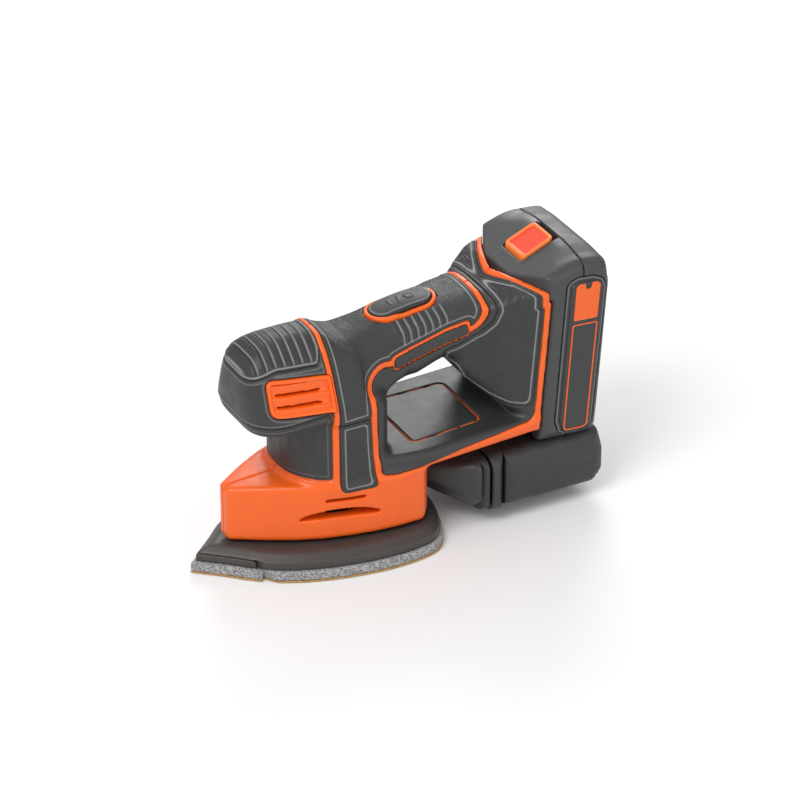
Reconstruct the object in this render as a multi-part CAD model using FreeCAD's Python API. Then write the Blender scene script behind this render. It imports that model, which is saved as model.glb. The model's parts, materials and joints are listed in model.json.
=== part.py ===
import FreeCAD, Part
import functools
import math
import os

# Detail mouse sander, battery driven. Millimetres, +Z up, nose towards -X, tool's left side is -Y.
# The origin lies on the sanding face, on the motor's axis.

V = FreeCAD.Vector
UP = V(0, 0, 1)

# ---- driving dimensions -------------------------------------------------------------------
ORBIT = 0.8                  # eccentric throw: the platen's orbit is 1.6 across
SHEET_T = 0.8                # sanding sheet
PAD_TOP = 6.0                # top of the foam pad
PLATEN_EDGE = 10.5           # top of the platen's vertical edge
PLATEN_TOP = 14.0            # flat top of the platen
SKIRT_LOW = 15.5             # lower edge of the housing's skirt
SKIRT_TOP = 47.0
WALL = 2.6                   # housing wall, with the skin moulded on it
SKIN = 1.5                   # depth of the pockets that hold the grips and panels
HEAD_HALF = 31.0             # half width of the motor head
HANDLE_HALF = 18.0
FOOT_HALF = 38.0             # half width at the back of the battery foot
LEAN = 4.0                   # degrees that the battery and the foot's back lean rearwards
LEAN_AT = V(108.3, 0, 60)    # a point of the foot's back plane
MOTOR_R = 18.0
CAN_LOW, CAN_HIGH = 54.0, 104.0
CAP_HIGH = 111.0
FAN_LOW, FAN_HIGH = 34.0, 43.5
FAN_R = 24.0
BEARING_R, BEARING_BORE = 11.0, 4.03     # 608 bearings on a shaft of radius 4
SHAFT_R, THIN_SHAFT_R = 4.0, 2.5
CROWN_SHARE = 0.84           # size of the platen's flat top against its edge
TIP_SPLIT = -56.7            # where the detail tip parts from the main pad
SWITCH_AT = V(43, 0, 128.7)  # middle of the switch, on the handle's top
SWITCH_TILT = -6.5           # degrees that the handle's top rises rearwards
CUP_FRONT, CUP_BACK = 88.0, 149.0
CUP_LOW, CUP_HIGH, CUP_HALF = 6.5, 40.4, 36.0
PACK_HALF = 37.0             # half width of the battery pack
PACK_FRONT, SEAM, PACK_BACK = 109.0, 131.0, 143.5      # upright, before leaning
CELL_X, CELL_LOW_Z, CELL_PITCH, CELL_R = 130.9, 57.5, 19.0, 9.1
BUTTON_SLOPE = 27.7          # degrees of the pack's top front slope, before leaning
BUTTON_AT = V(114.4, 0, 148.4)
SCREW_SPOTS = [(-48, 36), (28, 98), (68, 124), (99, 128), (-28, 122), (101, 62)]


# ---- helpers --------------------------------------------------------------------------------
def box(x0, x1, y0, y1, z0, z1):
    return Part.makeBox(x1 - x0, y1 - y0, z1 - z0, V(x0, y0, z0))


def cyl(r, x, y, z0, z1):
    return Part.makeCylinder(r, z1 - z0, V(x, y, z0))


def cyl_y(r, x, z, y0, y1):
    return Part.makeCylinder(r, y1 - y0, V(x, y0, z), V(0, 1, 0))


def ring(r_out, r_in, x, y, z0, z1):
    return cyl(r_out, x, y, z0, z1).cut(cyl(r_in, x, y, z0 - 1, z1 + 1))


def corner_cut(a, b, c, r):
    """The two tangent points and the middle point of an arc of radius r at corner b."""
    u, w = (a - b).normalize(), (c - b).normalize()
    half = math.acos(max(-1, min(1, u.dot(w)))) / 2
    run = r / math.tan(half)
    mid_dir = (u + w).normalize()
    middle = b + mid_dir * (r / math.sin(half) - r)
    return b + u * run, middle, b + w * run


def rounded(points, radii):
    """A closed wire through the points, each corner rounded by its own radius (0 keeps it sharp)."""
    n = len(points)
    edges, ends = [], []
    for i in range(n):
        if radii[i] > 0:
            ends.append(corner_cut(points[i - 1], points[i], points[(i + 1) % n], radii[i]))
        else:
            ends.append((points[i], None, points[i]))
    for i in range(n):
        start, middle, stop = ends[i]
        if middle is not None:
            edges.append(Part.Arc(start, middle, stop).toShape())
        following = ends[(i + 1) % n][0]
        if (following - stop).Length > 1e-4:
            edges.append(Part.makeLine(stop, following))
    return Part.Wire(edges)


def inset(wire, d):
    """The face inside a flat wire, drawn in by d."""
    face = Part.Face(wire)
    return face if d == 0 else face.makeOffset2D(-d)


def side_prism(points, radii, half, d=0.0, soft=0.0):
    """A solid with this outline seen from the side, across the tool, with softened long edges."""
    wire = rounded([V(x, 0, z) for x, z in points], radii)
    face = inset(wire, d)
    solid = face.translated(V(0, -(half - d), 0)).extrude(V(0, 2 * (half - d), 0))
    r = soft - d
    if r > 0.5:
        rim = [e for e in solid.Edges if e.BoundBox.YLength < 1e-3]
        solid = solid.makeFillet(r, rim)
    return solid


def plan_prism(points, radii, z0, z1, d=0.0):
    wire = rounded([V(x, y, 0) for x, y in points], radii)
    return inset(wire, d).translated(V(0, 0, z0)).extrude(V(0, 0, z1 - z0))


def mirrored(shape):
    return shape.mirror(V(0, 0, 0), V(0, 1, 0))


def leaned(shape):
    """Turn an upright shape about the foot's back plane so that it leans rearwards."""
    turned = shape.copy()
    turned.rotate(LEAN_AT, V(0, 1, 0), LEAN)
    return turned


def union(shapes):
    result = shapes[0].fuse(shapes[1:]) if len(shapes) > 1 else shapes[0]
    return result.removeSplitter()


# ---- outlines ---------------------------------------------------------------------------------
def sanding_outline():
    """The mouse sheet, 140 x 95: straight nose, full sides, round back."""
    tip, split = V(-80, 0, 0), V(-56.7, -21.7, 0)
    wide, heel = V(21, -47.5, 0), V(46.5, -39.5, 0)
    other = [V(p.x, -p.y, 0) for p in (heel, wide, split)]
    edges = [
        Part.makeLine(tip, split),
        Part.Arc(split, V(-24.2, -39.9, 0), wide).toShape(),
        Part.Arc(wide, V(36, -46.3, 0), heel).toShape(),
        Part.Arc(heel, V(59.5, 0, 0), other[0]).toShape(),
        Part.Arc(other[0], V(36, 46.3, 0), other[1]).toShape(),
        Part.Arc(other[1], V(-24.2, 39.9, 0), other[2]).toShape(),
        Part.makeLine(other[2], tip),
    ]
    return Part.Wire(edges)


def skirt_outline():
    side = [(-60, -4.5), (-8, -30.5), (43, -35.5)]
    corners = side + [(x, -y) for x, y in reversed(side)]
    return rounded([V(x, y, 0) for x, y in corners], [6, 60, 12, 12, 60, 6])


# ---- the housing's outer form ---------------------------------------------------------------
def skirt_form(d):
    low = SKIRT_LOW - 1 if d else SKIRT_LOW
    solid = inset(skirt_outline(), d).translated(V(0, 0, low)).extrude(V(0, 0, SKIRT_TOP - d - low))
    top = [e for e in solid.Edges if e.BoundBox.ZLength < 1e-3 and e.BoundBox.ZMin > SKIRT_TOP - d - 0.1]
    return solid.makeFillet(6.0 - d, top)


def column_form(d):
    corners = [(-32, -31), (24, -31), (24, 31), (-32, 31)]
    return plan_prism(corners, [26, 20, 20, 26], 40, 122 - d, d)


def head_form(d):
    outline = [(-34, 70), (2, 70), (2, 129), (-30, 131), (-55, 129), (-63, 112), (-61, 96)]
    return side_prism(outline, [10, 4, 4, 12, 14, 14, 14], HEAD_HALF, d, 13)


def handle_form(d):
    outline = [(0, 88), (26, 88), (36, 92), (60, 95), (80, 98), (84, 132), (55, 130.5), (0, 124)]
    return side_prism(outline, [2, 8, 12, 12, 4, 4, 30, 2], HANDLE_HALF, d, 10)


def foot_form(d):
    back_low, back_high = LEAN_AT.x, LEAN_AT.x + 77 * math.tan(math.radians(LEAN))
    side = [(62, 97), (76, 80), (93, 66), (back_low - 0.3, 50), (back_high, 137), (95, 138), (76, 131)]
    block = side_prism(side, [4, 16, 10, 1, 1, 6, 8], FOOT_HALF, d)
    flare = [(58, -17), (80, -19), (back_high + 2, -38), (back_high + 2, 38), (80, 19), (58, 17)]
    return block.common(plan_prism(flare, [3, 26, 2, 2, 26, 3], 40, 150, d))


def rail_form(d):
    side = [(16, 46), (LEAN_AT.x - 0.6, 50.5), (LEAN_AT.x - 0.1, 59), (80, 57.5), (16, 57)]
    return side_prism(side, [2, 1, 1, 20, 2], 36, d, 3.5)


@functools.cache
def body_form(d):
    return union([skirt_form(d), column_form(d), head_form(d), handle_form(d), foot_form(d), rail_form(d)])


# ---- regions of the skin: what is moulded over or let into the housing ------------------------
def prism_both(points, radii, inner=5.0, outer=45.0):
    """A side outline as two prisms, one each side of the tool's middle."""
    wire = rounded([V(x, 0, z) for x, z in points], radii)
    left = Part.Face(wire).translated(V(0, -outer, 0)).extrude(V(0, outer - inner, 0))
    return left, mirrored(left)


def region_vents():
    return prism_both([(-48, 96), (-12.5, 92), (-17.5, 119.5), (-48, 119.5)], [5, 4, 3, 5], 20)


def region_head():
    """Everything of the head ahead of the first orange ring."""
    return box(-70, -12.5, -40, 40, 62, 140)


def region_neck():
    front = [(-50, 84), (-50, 61), (-33, 60), (-9, 50), (-9, 62), (-12.5, 84)]
    wire = rounded([V(x, -40, z) for x, z in front], [0, 0, 0, 3, 0, 0])
    return Part.Face(wire).extrude(V(0, 80, 0))


def region_column():
    outline = [(-6, 46), (10, 46), (13, 76), (12, 100), (22, 112), (22, 121), (-6, 118)]
    return prism_both(outline, [5, 5, 0, 12, 4, 4, 5], 10)


def region_handle():
    return box(14, 76, -40, 40, 84, 140)


def region_nameplates():
    return prism_both([(30, 99.5), (74, 110), (72, 117), (30, 106.5)], [2.5, 2.5, 2.5, 2.5], 12)


def region_foot():
    outline = [(66, 94), (76, 83), (92, 69.5), (106, 70), (110, 131), (95, 135), (86, 128), (86, 118)]
    return prism_both(outline, [6, 14, 8, 4, 4, 4, 4, 4], 10)


def region_deck():
    return box(37, 79, -22, 22, 50, 62)


def region_rail():
    """The dark cover over the rail, above its orange lower band."""
    outline = [(25, 51.5), (66, 54), (100, 57.5), (94, 66), (84, 62), (60, 62), (25, 62)]
    wire = rounded([V(x, -45, z) for x, z in outline], [0, 0, 0, 0, 0, 0, 0])
    return Part.Face(wire).extrude(V(0, 90, 0))


def skins():
    """Each grip, cover and panel, cut from the outer skin of the form."""
    shell = body_form(0).cut(body_form(SKIN))
    taken = []
    result = {}

    def take(name, region):
        piece = shell.common(region)
        for earlier in taken:
            piece = piece.cut(earlier)
        solids = sorted(piece.Solids, key=lambda s: -s.Volume)
        keep = [s for s in solids if s.Volume > 0.1 * solids[0].Volume]
        result[name] = Part.makeCompound(keep) if len(keep) > 1 else keep[0]
        taken.append(region)

    vents = region_vents()
    take("left_motor_vent", vents[0])
    take("right_motor_vent", vents[1])
    head = region_head()
    top_cut = side_prism([(-70, 117), (-12.5, 121), (-12.5, 140), (-70, 140)], [0, 0, 0, 0], 40)
    take("top_grip", top_cut)
    take("head_bumper", head)
    take("neck_panel", region_neck())
    columns = region_column()
    take("left_column_grip", columns[0])
    take("right_column_grip", columns[1])
    plates = region_nameplates()
    take("nameplates", plates[0].fuse(plates[1]))
    take("handle_grip", region_handle().cut(box(24, 64, -12, 12, 118, 140)))
    feet = region_foot()
    take("left_foot_panel", feet[0])
    take("right_foot_panel", feet[1])
    take("deck_plate", region_deck())
    take("rail_cover", region_rail())
    return result


# ---- housing halves ----------------------------------------------------------------------------
def vent_slots():
    """Three louvres through each motor vent and the wall behind it."""
    louvres = []
    for low in (99.0, 105.7, 112.4):
        for sign in (-1, 1):
            y0, y1 = sorted((sign * 20, sign * 40))
            louvres.append(box(-43, -17, y0, y1, low, low + 3.8))
    return Part.makeCompound(louvres)


def skirt_slots():
    """The crescent air slot low on each side, and the thin slot above it."""
    crescent = [(-28, 30), (-16, 27.6), (6, 27.6), (14, 31), (4, 32.6), (-18, 32.6)]
    thin = [(-15, 38), (6, 38), (6, 40), (-15, 40)]
    slots = list(prism_both(crescent, [0] * 6, 18)) + list(prism_both(thin, [0.9] * 4, 18))
    return Part.makeCompound(slots)


def switch_space():
    return at_switch(stadium(40, 21, -8, 6))


def terminal_space():
    return leaned(box(98, 112, -14.4, 14.4, 79.5, 120.5))


def screw_holes():
    """Clearance for each screw: its shank in both bosses, its head in a channel from the right."""
    holes = []
    for x, z in SCREW_SPOTS:
        holes.append(cyl_y(1.6, x, z, -10.5, 9))
        holes.append(cyl_y(3.4, x, z, 7.5, 45))
    return Part.makeCompound(holes)


def bosses():
    return [cyl_y(4.8, x, z, -45, 45) for x, z in SCREW_SPOTS]


def leg_sockets():
    return [cyl(5.5, x, y, 38, 46) for x, y in leg_spots()]


def dust_hole():
    return Part.makeCylinder(10.5, 20, V(34, 0, 31), V(1, 0, 0))


def housing(panels):
    outer = body_form(0)
    ribs = union(bosses() + leg_sockets()).common(outer)
    ribs = ribs.cut(cyl(MOTOR_R + 1.5, 0, 0, 45, 120)).cut(cyl(FAN_R + 1.5, 0, 0, 10, 45.5))
    ribs = ribs.cut(switch_body_form(1.0))
    whole = outer.cut(body_form(WALL)).fuse(ribs)
    for cutter in [vent_slots(), skirt_slots(), switch_space(), terminal_space(), dust_hole()]:
        whole = whole.cut(cutter)
    whole = whole.cut(Part.makeCompound([cyl(3.0, x, y, 10, 44) for x, y in leg_spots()]))
    for panel in panels:
        whole = whole.cut(panel)
    whole = whole.cut(screw_holes())
    left = whole.common(box(-100, 160, -60, 0, 0, 170))
    right = whole.common(box(-100, 160, 0, 60, 0, 170))
    return largest(left), largest(right)


def largest(shape, share=0.02):
    """The shape without its crumbs."""
    solids = sorted(shape.Solids, key=lambda part: -part.Volume)
    keep = [part for part in solids if part.Volume > share * solids[0].Volume]
    return Part.makeCompound(keep) if len(keep) > 1 else keep[0]


def ribbed(grip):
    """The top grip with its transverse grooves."""
    grooves = []
    for i in range(13):
        x = -58.5 + 3.6 * i
        grooves.append(box(x, x + 1.0, -22, 22, 124, 140))
    skin = head_form(0).cut(head_form(0.8))
    return grip.cut(skin.common(Part.makeCompound(grooves)))


def housing_screws():
    screws = []
    for x, z in SCREW_SPOTS:
        screws.append(cyl_y(1.5, x, z, -10, 8).fuse(cyl_y(3.1, x, z, 7.5, 10)).removeSplitter())
    return Part.makeCompound(screws)


# ---- switch -----------------------------------------------------------------------------------
def stadium(length, width, z0, z1):
    r = width / 2 - 0.01
    u, v = length / 2, width / 2
    corners = [(-u, -v), (u, -v), (u, v), (-u, v)]
    return plan_prism(corners, [r] * 4, z0, z1)


def at_switch(shape):
    placed = shape.copy()
    placed.rotate(V(0, 0, 0), V(0, 1, 0), SWITCH_TILT)
    placed.translate(SWITCH_AT)
    return placed


def switch_frame():
    return at_switch(stadium(40, 21, -6, 1.0).cut(stadium(35, 16, -7, 2)))


def switch_rocker():
    dome = Part.makeCylinder(60, 40, V(0, -20, -57.4), V(0, 1, 0))
    return at_switch(stadium(33.4, 14.8, -3.5, 4).common(dome))


def switch_body_form(d=0.0):
    return box(33 - d, 53 + d, -7 - d, 7 + d, 101 - d, 119 + d)


def switch_body():
    plunger = box(40, 46, -3, 3, 118, 122)
    return switch_body_form().fuse(plunger).removeSplitter()


# ---- motor and drive -----------------------------------------------------------------------------
def motor_can():
    can_wall = 1.5
    inside = cyl(MOTOR_R - can_wall, 0, 0, CAN_LOW + can_wall, CAN_HIGH + 1)
    shaft_hole = cyl(6, 0, 0, CAN_LOW - 1, CAN_LOW + 2)
    return cyl(MOTOR_R, 0, 0, CAN_LOW, CAN_HIGH).cut(inside).cut(shaft_hole)


def motor_magnets():
    tube = ring(MOTOR_R - 1.55, 13.4, 0, 0, 60, 94)
    return tube.cut(box(-30, 30, -3, 3, 50, 100))


def motor_end_cap():
    cap = cyl(MOTOR_R, 0, 0, CAN_HIGH, CAP_HIGH)
    cap = cap.cut(cyl(5.0, 0, 0, 106, CAP_HIGH + 1)).cut(cyl(3.2, 0, 0, CAN_HIGH - 1, 107))
    holder = box(-3.4, 3.4, 6.5, 13, 95.5, CAN_HIGH).cut(brush())
    return union([cap, holder, mirrored(holder)])


def brush():
    return box(-2, 2, 4.7, 12.5, 97, 103)


def carbon_brushes():
    return Part.makeCompound([brush(), mirrored(brush())])


def bearing(r_out, r_in, x, z0, z1):
    """A ball bearing as its two rings and their shields, closed up into one ring."""
    body = ring(r_out, r_in, x, 0, z0, z1)
    width = r_out - r_in
    groove = ring(r_out - 0.25 * width, r_in + 0.25 * width, x, 0, z1 - 0.4, z1 + 1)
    return body.cut(groove)


def armature_shaft():
    thick = cyl(SHAFT_R, 0, 0, 30, CAN_LOW + 1)
    return thick.fuse(cyl(THIN_SHAFT_R, 0, 0, CAN_LOW + 1, CAP_HIGH - 0.2)).removeSplitter()


def armature_core():
    core = ring(12.6, THIN_SHAFT_R, 0, 0, 62, 92)
    slots = []
    for i in range(5):
        slot = box(7.5, 14, -1, 1, 60, 94)
        slot.rotate(V(0, 0, 0), UP, 72 * i)
        slots.append(slot)
    return core.cut(Part.makeCompound(slots))


def commutator():
    return ring(4.5, THIN_SHAFT_R, 0, 0, 96, 103.5)


def fan():
    blades = [ring(7, SHAFT_R, 0, 0, FAN_LOW, FAN_HIGH), ring(FAN_R, SHAFT_R, 0, 0, FAN_LOW, FAN_LOW + 1.6)]
    for i in range(11):
        blade = box(6.5, FAN_R - 0.5, -0.7, 0.7, FAN_LOW, FAN_HIGH)
        blade.rotate(V(0, 0, 0), UP, 360 / 11 * i)
        blades.append(blade)
    return union(blades)


def counterweight():
    hub = cyl(8, 0, 0, 26.5, 33.5)
    sector = cyl(20, 0, 0, 26.5, 33.5).common(box(-25, -2, -25, 25, 20, 40))
    whole = hub.fuse(sector).removeSplitter()
    return whole.cut(cyl(SHAFT_R, 0, 0, 30, 40)).cut(cyl(SHAFT_R, ORBIT, 0, 20, 30))


def eccentric_pin():
    return cyl(SHAFT_R, ORBIT, 0, 16.5, 30)


def retaining_screw():
    return cyl(6.5, ORBIT, 0, 15.4, 16.5).fuse(cyl(3.4, ORBIT, 0, 12.9, 15.4)).removeSplitter()


# ---- sanding end ----------------------------------------------------------------------------------
def tip_half_space(gap):
    """The space ahead of the split, which runs straight across with a shallow forward step."""
    side = gap / 2
    points = [(-90, -60), (TIP_SPLIT - side, -60), (TIP_SPLIT - side, 60), (-90, 60)]
    return plan_prism(points, [0, 0, 0, 0], -5, 30)


def tip_and_main(layer, gap=1.2):
    ahead = tip_half_space(gap)
    behind = tip_half_space(-gap)
    return largest(layer.common(ahead)), largest(layer.cut(behind))


def layer_between(d, z0, z1):
    return inset(sanding_outline(), d).translated(V(0, 0, z0)).extrude(V(0, 0, z1 - z0))


def platen_parts():
    edge = inset(sanding_outline(), 2.2).OuterWire
    crown = edge.copy()
    crown.scale(CROWN_SHARE)
    rims = [edge.translated(V(0, 0, PLATEN_EDGE)), crown.translated(V(0, 0, PLATEN_TOP))]
    bevel = Part.makeLoft(rims, True)
    slab = layer_between(2.2, PAD_TOP, PLATEN_EDGE).fuse(bevel)
    tip_block = layer_between(2.2, PAD_TOP, PLATEN_EDGE).common(tip_half_space(1.0))
    platen = slab.cut(layer_between(0, PAD_TOP - 1, PLATEN_EDGE).common(tip_half_space(0)))
    hub = cyl(17, ORBIT, 0, PLATEN_TOP - 0.5, 24.6)
    platen = platen.fuse(hub).removeSplitter()
    platen = platen.cut(cyl(BEARING_R, ORBIT, 0, 17, 26)).cut(cyl(9, ORBIT, 0, 8.5, 18))
    return platen, tip_block


def dust_passages(shape):
    """Suction holes through the platen, the pad and the sheet."""
    holes = []
    for x, y in [(-30, 0), (-18, 22), (-18, -22), (25, 30), (25, -30), (38, 12), (38, -12)]:
        holes.append(cyl(3.5, x, y, -1, 20))
    return shape.cut(Part.makeCompound(holes))


def leg_spots():
    return [(-40, 6), (-40, -6), (31, 19.5), (31, -19.5)]


def platen_legs():
    """Four rubber legs that tie the platen to the housing and let it orbit without turning."""
    legs = []
    for x, y in leg_spots():
        post = cyl(2.6, x, y, PLATEN_TOP, 37)
        foot = Part.makeCone(4.4, 2.6, 4, V(x, y, PLATEN_TOP))
        head = cyl(2.9, x, y, 36, 43.5)
        legs.append(post.fuse([foot, head]).removeSplitter())
    return Part.makeCompound(legs)


def platen_screws():
    """Screws that hold the tip piece to the platen from above."""
    one = cyl(2.2, -62, 6, PLATEN_EDGE - 3.5, PLATEN_EDGE - 1)
    return Part.makeCompound([one, mirrored(one)])


# ---- dust collection --------------------------------------------------------------------------------
def section_prism(half, z0, z1, r, x0, x1, d=0.0):
    corners = [V(0, -half, z0), V(0, half, z0), V(0, half, z1), V(0, -half, z1)]
    return inset(rounded(corners, [r] * 4), d).translated(V(x0, 0, 0)).extrude(V(x1 - x0, 0, 0))


def dust_spigot():
    tube = Part.makeCylinder(10.4, 13.3, V(38.2, 0, 31), V(1, 0, 0))
    flange = Part.makeCylinder(11.3, 2, V(38.2, 0, 31), V(1, 0, 0))
    bore = Part.makeCylinder(8.4, 20, V(35, 0, 31), V(1, 0, 0))
    return tube.fuse(flange).removeSplitter().cut(bore)


def adaptor_form(d):
    side = [(45.5, 45.8), (45.5, 17.5), (62, 16), (65, 9.3), (78, 8.3), (78, 41.6), (66, 44)]
    block = side_prism(side, [2, 3, 2, 2, 0, 0, 10], 34, d, 5)
    flare = [(44, -20), (62, -30), (70, -34), (79, -34), (79, 34), (70, 34), (62, 30), (44, 20)]
    return block.common(plan_prism(flare, [0, 20, 10, 0, 0, 10, 20, 0], 0, 60, d))


def dust_adaptor():
    rear_mouth = section_prism(26, 15, 34, 6, 70, 90)
    front_mouth = Part.makeCylinder(10.8, 12, V(42, 0, 31), V(1, 0, 0))
    outlet = section_prism(27.6, 13.4, 35.6, 7.6, 74, 83.8)
    duct = adaptor_form(0).common(box(40, 75.8, -50, 50, 0, 60)).fuse(outlet)
    hollow = adaptor_form(2.2).common(box(40, 75, -50, 50, 0, 60)).fuse([rear_mouth, front_mouth])
    return largest(duct.cut(hollow))


def canister_collar():
    ring_part = section_prism(CUP_HALF, CUP_LOW, CUP_HIGH, 13, 76, CUP_FRONT - 0.2)
    lip = section_prism(CUP_HALF - 2.6, CUP_LOW + 2.6, CUP_HIGH - 2.6, 10.4, 80, CUP_FRONT + 7)
    return ring_part.fuse(lip).removeSplitter().cut(section_prism(28, 13, 36, 8, 70, 110))


def cup_form():
    block = section_prism(CUP_HALF, CUP_LOW, CUP_HIGH, 13, CUP_FRONT, CUP_BACK)
    back = [e for e in block.Edges if e.BoundBox.XMin > CUP_BACK - 0.1]
    return block.makeFillet(9, back)


def dust_cup():
    wall = 2.2
    hollow = section_prism(CUP_HALF - wall, CUP_LOW + wall, CUP_HIGH - wall, 13 - wall, 80, CUP_BACK - 6)
    back = [e for e in hollow.Edges if e.BoundBox.XMin > CUP_BACK - 6.1]
    return cup_form().cut(hollow.makeFillet(6, back))


def filter_frame():
    return section_prism(27.6, 13.4, 35.6, 7.6, 84, 97).cut(section_prism(25, 15.8, 33.2, 2, 83, 98))


def filter_element():
    """Pleated paper, folded to and fro across the frame."""
    folds = 12
    pitch = 42 / folds
    front, back, thick = 92.0, 126.0, 0.9
    points = []
    for i in range(folds + 1):
        points.append((back if i % 2 else front, -21 + pitch * i))
    for i in range(folds, -1, -1):
        points.append(((back if i % 2 else front) + 4 * thick, -21 + pitch * i))
    return plan_prism(points, [0] * len(points), 16.5, 32.5)


# ---- battery pack (drawn upright, then leaned) ---------------------------------------------------------
def pack_form(d):
    slope_x, slope_z = 92.8, 137.4
    crest_x = 123.6
    crest_z = slope_z + (crest_x - slope_x) * math.tan(math.radians(BUTTON_SLOPE))
    side = [(slope_x, slope_z), (PACK_FRONT, slope_z), (PACK_FRONT, 46), (116, 43.5), (PACK_BACK - 4, 43.5),
            (PACK_BACK, 50), (PACK_BACK, 144), (crest_x + 12, crest_z - 0.5), (crest_x, crest_z)]
    block = side_prism(side, [0.6, 0, 2, 3, 4, 4, 6, 6, 8], PACK_HALF, d)
    flare = [(slope_x - 1, -18), (104, -33), (PACK_FRONT, -37.5), (150, -37.5)]
    flare += [(x, -y) for x, y in reversed(flare)]
    block = block.common(plan_prism(flare, [2, 8, 0, 0, 0, 0, 8, 2], 30, 170, d))
    low, shoulder, high = 30, 141, 156
    front_view = [(-38, low), (38, low), (38, shoulder), (24, high), (-24, high), (-38, shoulder)]
    wire = rounded([V(80, y, z) for y, z in front_view], [0, 0, 10, 12, 12, 10])
    return block.common(inset(wire, d).extrude(V(90, 0, 0)))


def pad_outline(y0, y1):
    outline = [(116.5, 46), (140.5, 46), (140.5, 144), (116.5, 144)]
    wire = rounded([V(x, y0, z) for x, z in outline], [9] * 4)
    return Part.Face(wire).extrude(V(0, y1 - y0, 0))


def label_pads():
    left = leaned(pad_outline(-38.2, -36.2))
    return Part.makeCompound([left, mirrored(left)])


def button_place(shape):
    placed = shape.copy()
    placed.rotate(V(0, 0, 0), V(0, 1, 0), -BUTTON_SLOPE)
    placed.translate(BUTTON_AT)
    return leaned(placed)


def pack_shells():
    wall = 2.2
    outer = pack_form(0)
    channel = box(PACK_FRONT - 1, 118, -26, 26, 30, 133)
    channel_wall = box(PACK_FRONT - 1, 120, -28, 28, 30, 135)
    hollow = pack_form(wall).cut(channel_wall)
    shell = outer.cut(hollow).cut(channel)
    lips = [box(PACK_FRONT, 111.6, -27, -20, 46.2, 132.5), box(PACK_FRONT, 111.6, 20, 27, 46.2, 132.5)]
    shell = shell.fuse(lips)
    for y0, y1 in ((-40, -36.2), (36.2, 40)):
        shell = shell.cut(pad_outline(y0, y1))
    front = leaned(largest(shell.common(box(80, SEAM, -45, 45, 20, 170))))
    back = leaned(largest(shell.common(box(SEAM, 160, -45, 45, 20, 170))))
    button_hole = button_place(rounded_block(22.6, 18.6, -6.5, 8, 3))
    return front.cut(button_hole), back.cut(button_hole)


def rounded_block(length, width, z0, z1, r):
    x, y = length / 2, width / 2
    return plan_prism([(-x, -y), (x, -y), (x, y), (-x, y)], [r] * 4, z0, z1)


def release_button():
    block = rounded_block(22, 18, -3.4, 0.3, 2.7)
    dish = Part.makeSphere(30, V(1, 0, 28.4)).common(rounded_block(18, 14, -10, 10, 2))
    return button_place(block.cut(dish))


def latch_spring():
    """The coil spring under the button, as stacked turns."""
    turns = [Part.makeTorus(2.4, 0.3, V(0, 0, -3.75 - 0.62 * i), UP) for i in range(4)]
    return button_place(Part.makeCompound(turns))


def battery_cells():
    cells = []
    for i in range(5):
        cell = cyl_y(CELL_R, CELL_X, CELL_LOW_Z + CELL_PITCH * i, -32.4, 32.4)
        cells.append(cell.cut(cyl_y(CELL_R - 1, CELL_X, CELL_LOW_Z + CELL_PITCH * i, -29, 29)))
    return leaned(Part.makeCompound(cells))


def cell_holder():
    """Two end plates with a socket for each cell."""
    plate = box(121.6, 139.6, -31, -25, 49.6, 144)
    for i in range(5):
        plate = plate.cut(cyl_y(CELL_R + 0.1, CELL_X, CELL_LOW_Z + CELL_PITCH * i, -40, 40))
    plate = largest(plate)
    return leaned(Part.makeCompound([plate, mirrored(plate)]))


def battery_board():
    return leaned(box(120.1, 121.1, -26, 26, 60, 130))


CONTACT_YS = (-9.0, -3.0, 3.0, 9.0)


def battery_contacts():
    """A pair of spring leaves for each blade, fixed to the channel's back wall."""
    leaves = []
    for y in CONTACT_YS:
        for side in (-1, 1):
            middle = y + side * 1.0
            leaves.append(box(113.8, 118, middle - 0.25, middle + 0.25, 98, 110))
    return leaned(Part.makeCompound(leaves))


# ---- the tool's side of the battery joint ------------------------------------------------------------------
def terminal_block():
    body = box(101, 112.6, -14, 14, 80, 120)
    slots = [box(110, 113, y - 1.5, y + 1.5, 84, 116) for y in CONTACT_YS]
    return leaned(body.cut(Part.makeCompound(slots)))


def tool_terminals():
    return leaned(Part.makeCompound([box(110, 117, y - 0.4, y + 0.4, 92, 114) for y in CONTACT_YS]))


def battery_rails():
    """Two hooked rails on the foot's back; the pack's lips run behind their flanges."""
    web = box(LEAN_AT.x + 0.55, 112.4, 16.4, 19.4, 57, 128)
    flange = box(112.2, 115, 16.4, 24, 57, 128)
    rail = web.fuse(flange).removeSplitter()
    return leaned(Part.makeCompound([rail, mirrored(rail)]))


def lead(points, r):
    """A round lead along straight runs joined by tangent arcs."""
    arcs = []
    for i in range(1, len(points) - 1):
        a, b, c = points[i - 1], points[i], points[i + 1]
        turn = math.pi - (a - b).getAngle(c - b)
        radius = 0.45 * min((a - b).Length, (c - b).Length) / math.tan(turn / 2)
        arcs.append(corner_cut(a, b, c, radius))
    edges = []
    here = points[0]
    for start, middle, stop in arcs:
        edges.append(Part.makeLine(here, start))
        edges.append(Part.Arc(start, middle, stop).toShape())
        here = stop
    edges.append(Part.makeLine(here, points[-1]))
    section = Part.Wire(Part.makeCircle(r, points[0], points[1] - points[0]))
    return Part.Wire(edges).makePipeShell([section], True, False)


def supply_leads():
    """From the terminal block, forward through the handle, to the switch."""
    leads = []
    for y in (-4.0, 4.0):
        route = [V(103.5, y, 108), V(94, y, 110), V(80, y, 113), V(66, y, 112), V(53.9, y, 108)]
        leads.append(lead(route, 1.1))
    return leads


def motor_leads():
    """From the switch, forward into the head, to the brush holders."""
    leads = []
    for y in (-4.0, 4.0):
        rise = [V(32.8, y, 110), V(26, y, 111), V(19, y * 1.6, 115), V(10, y * 2.4, 116.5)]
        route = rise + [V(3, y * 2.9, CAP_HIGH + 1.3)]
        leads.append(lead(route, 1.1))
    return leads


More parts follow.
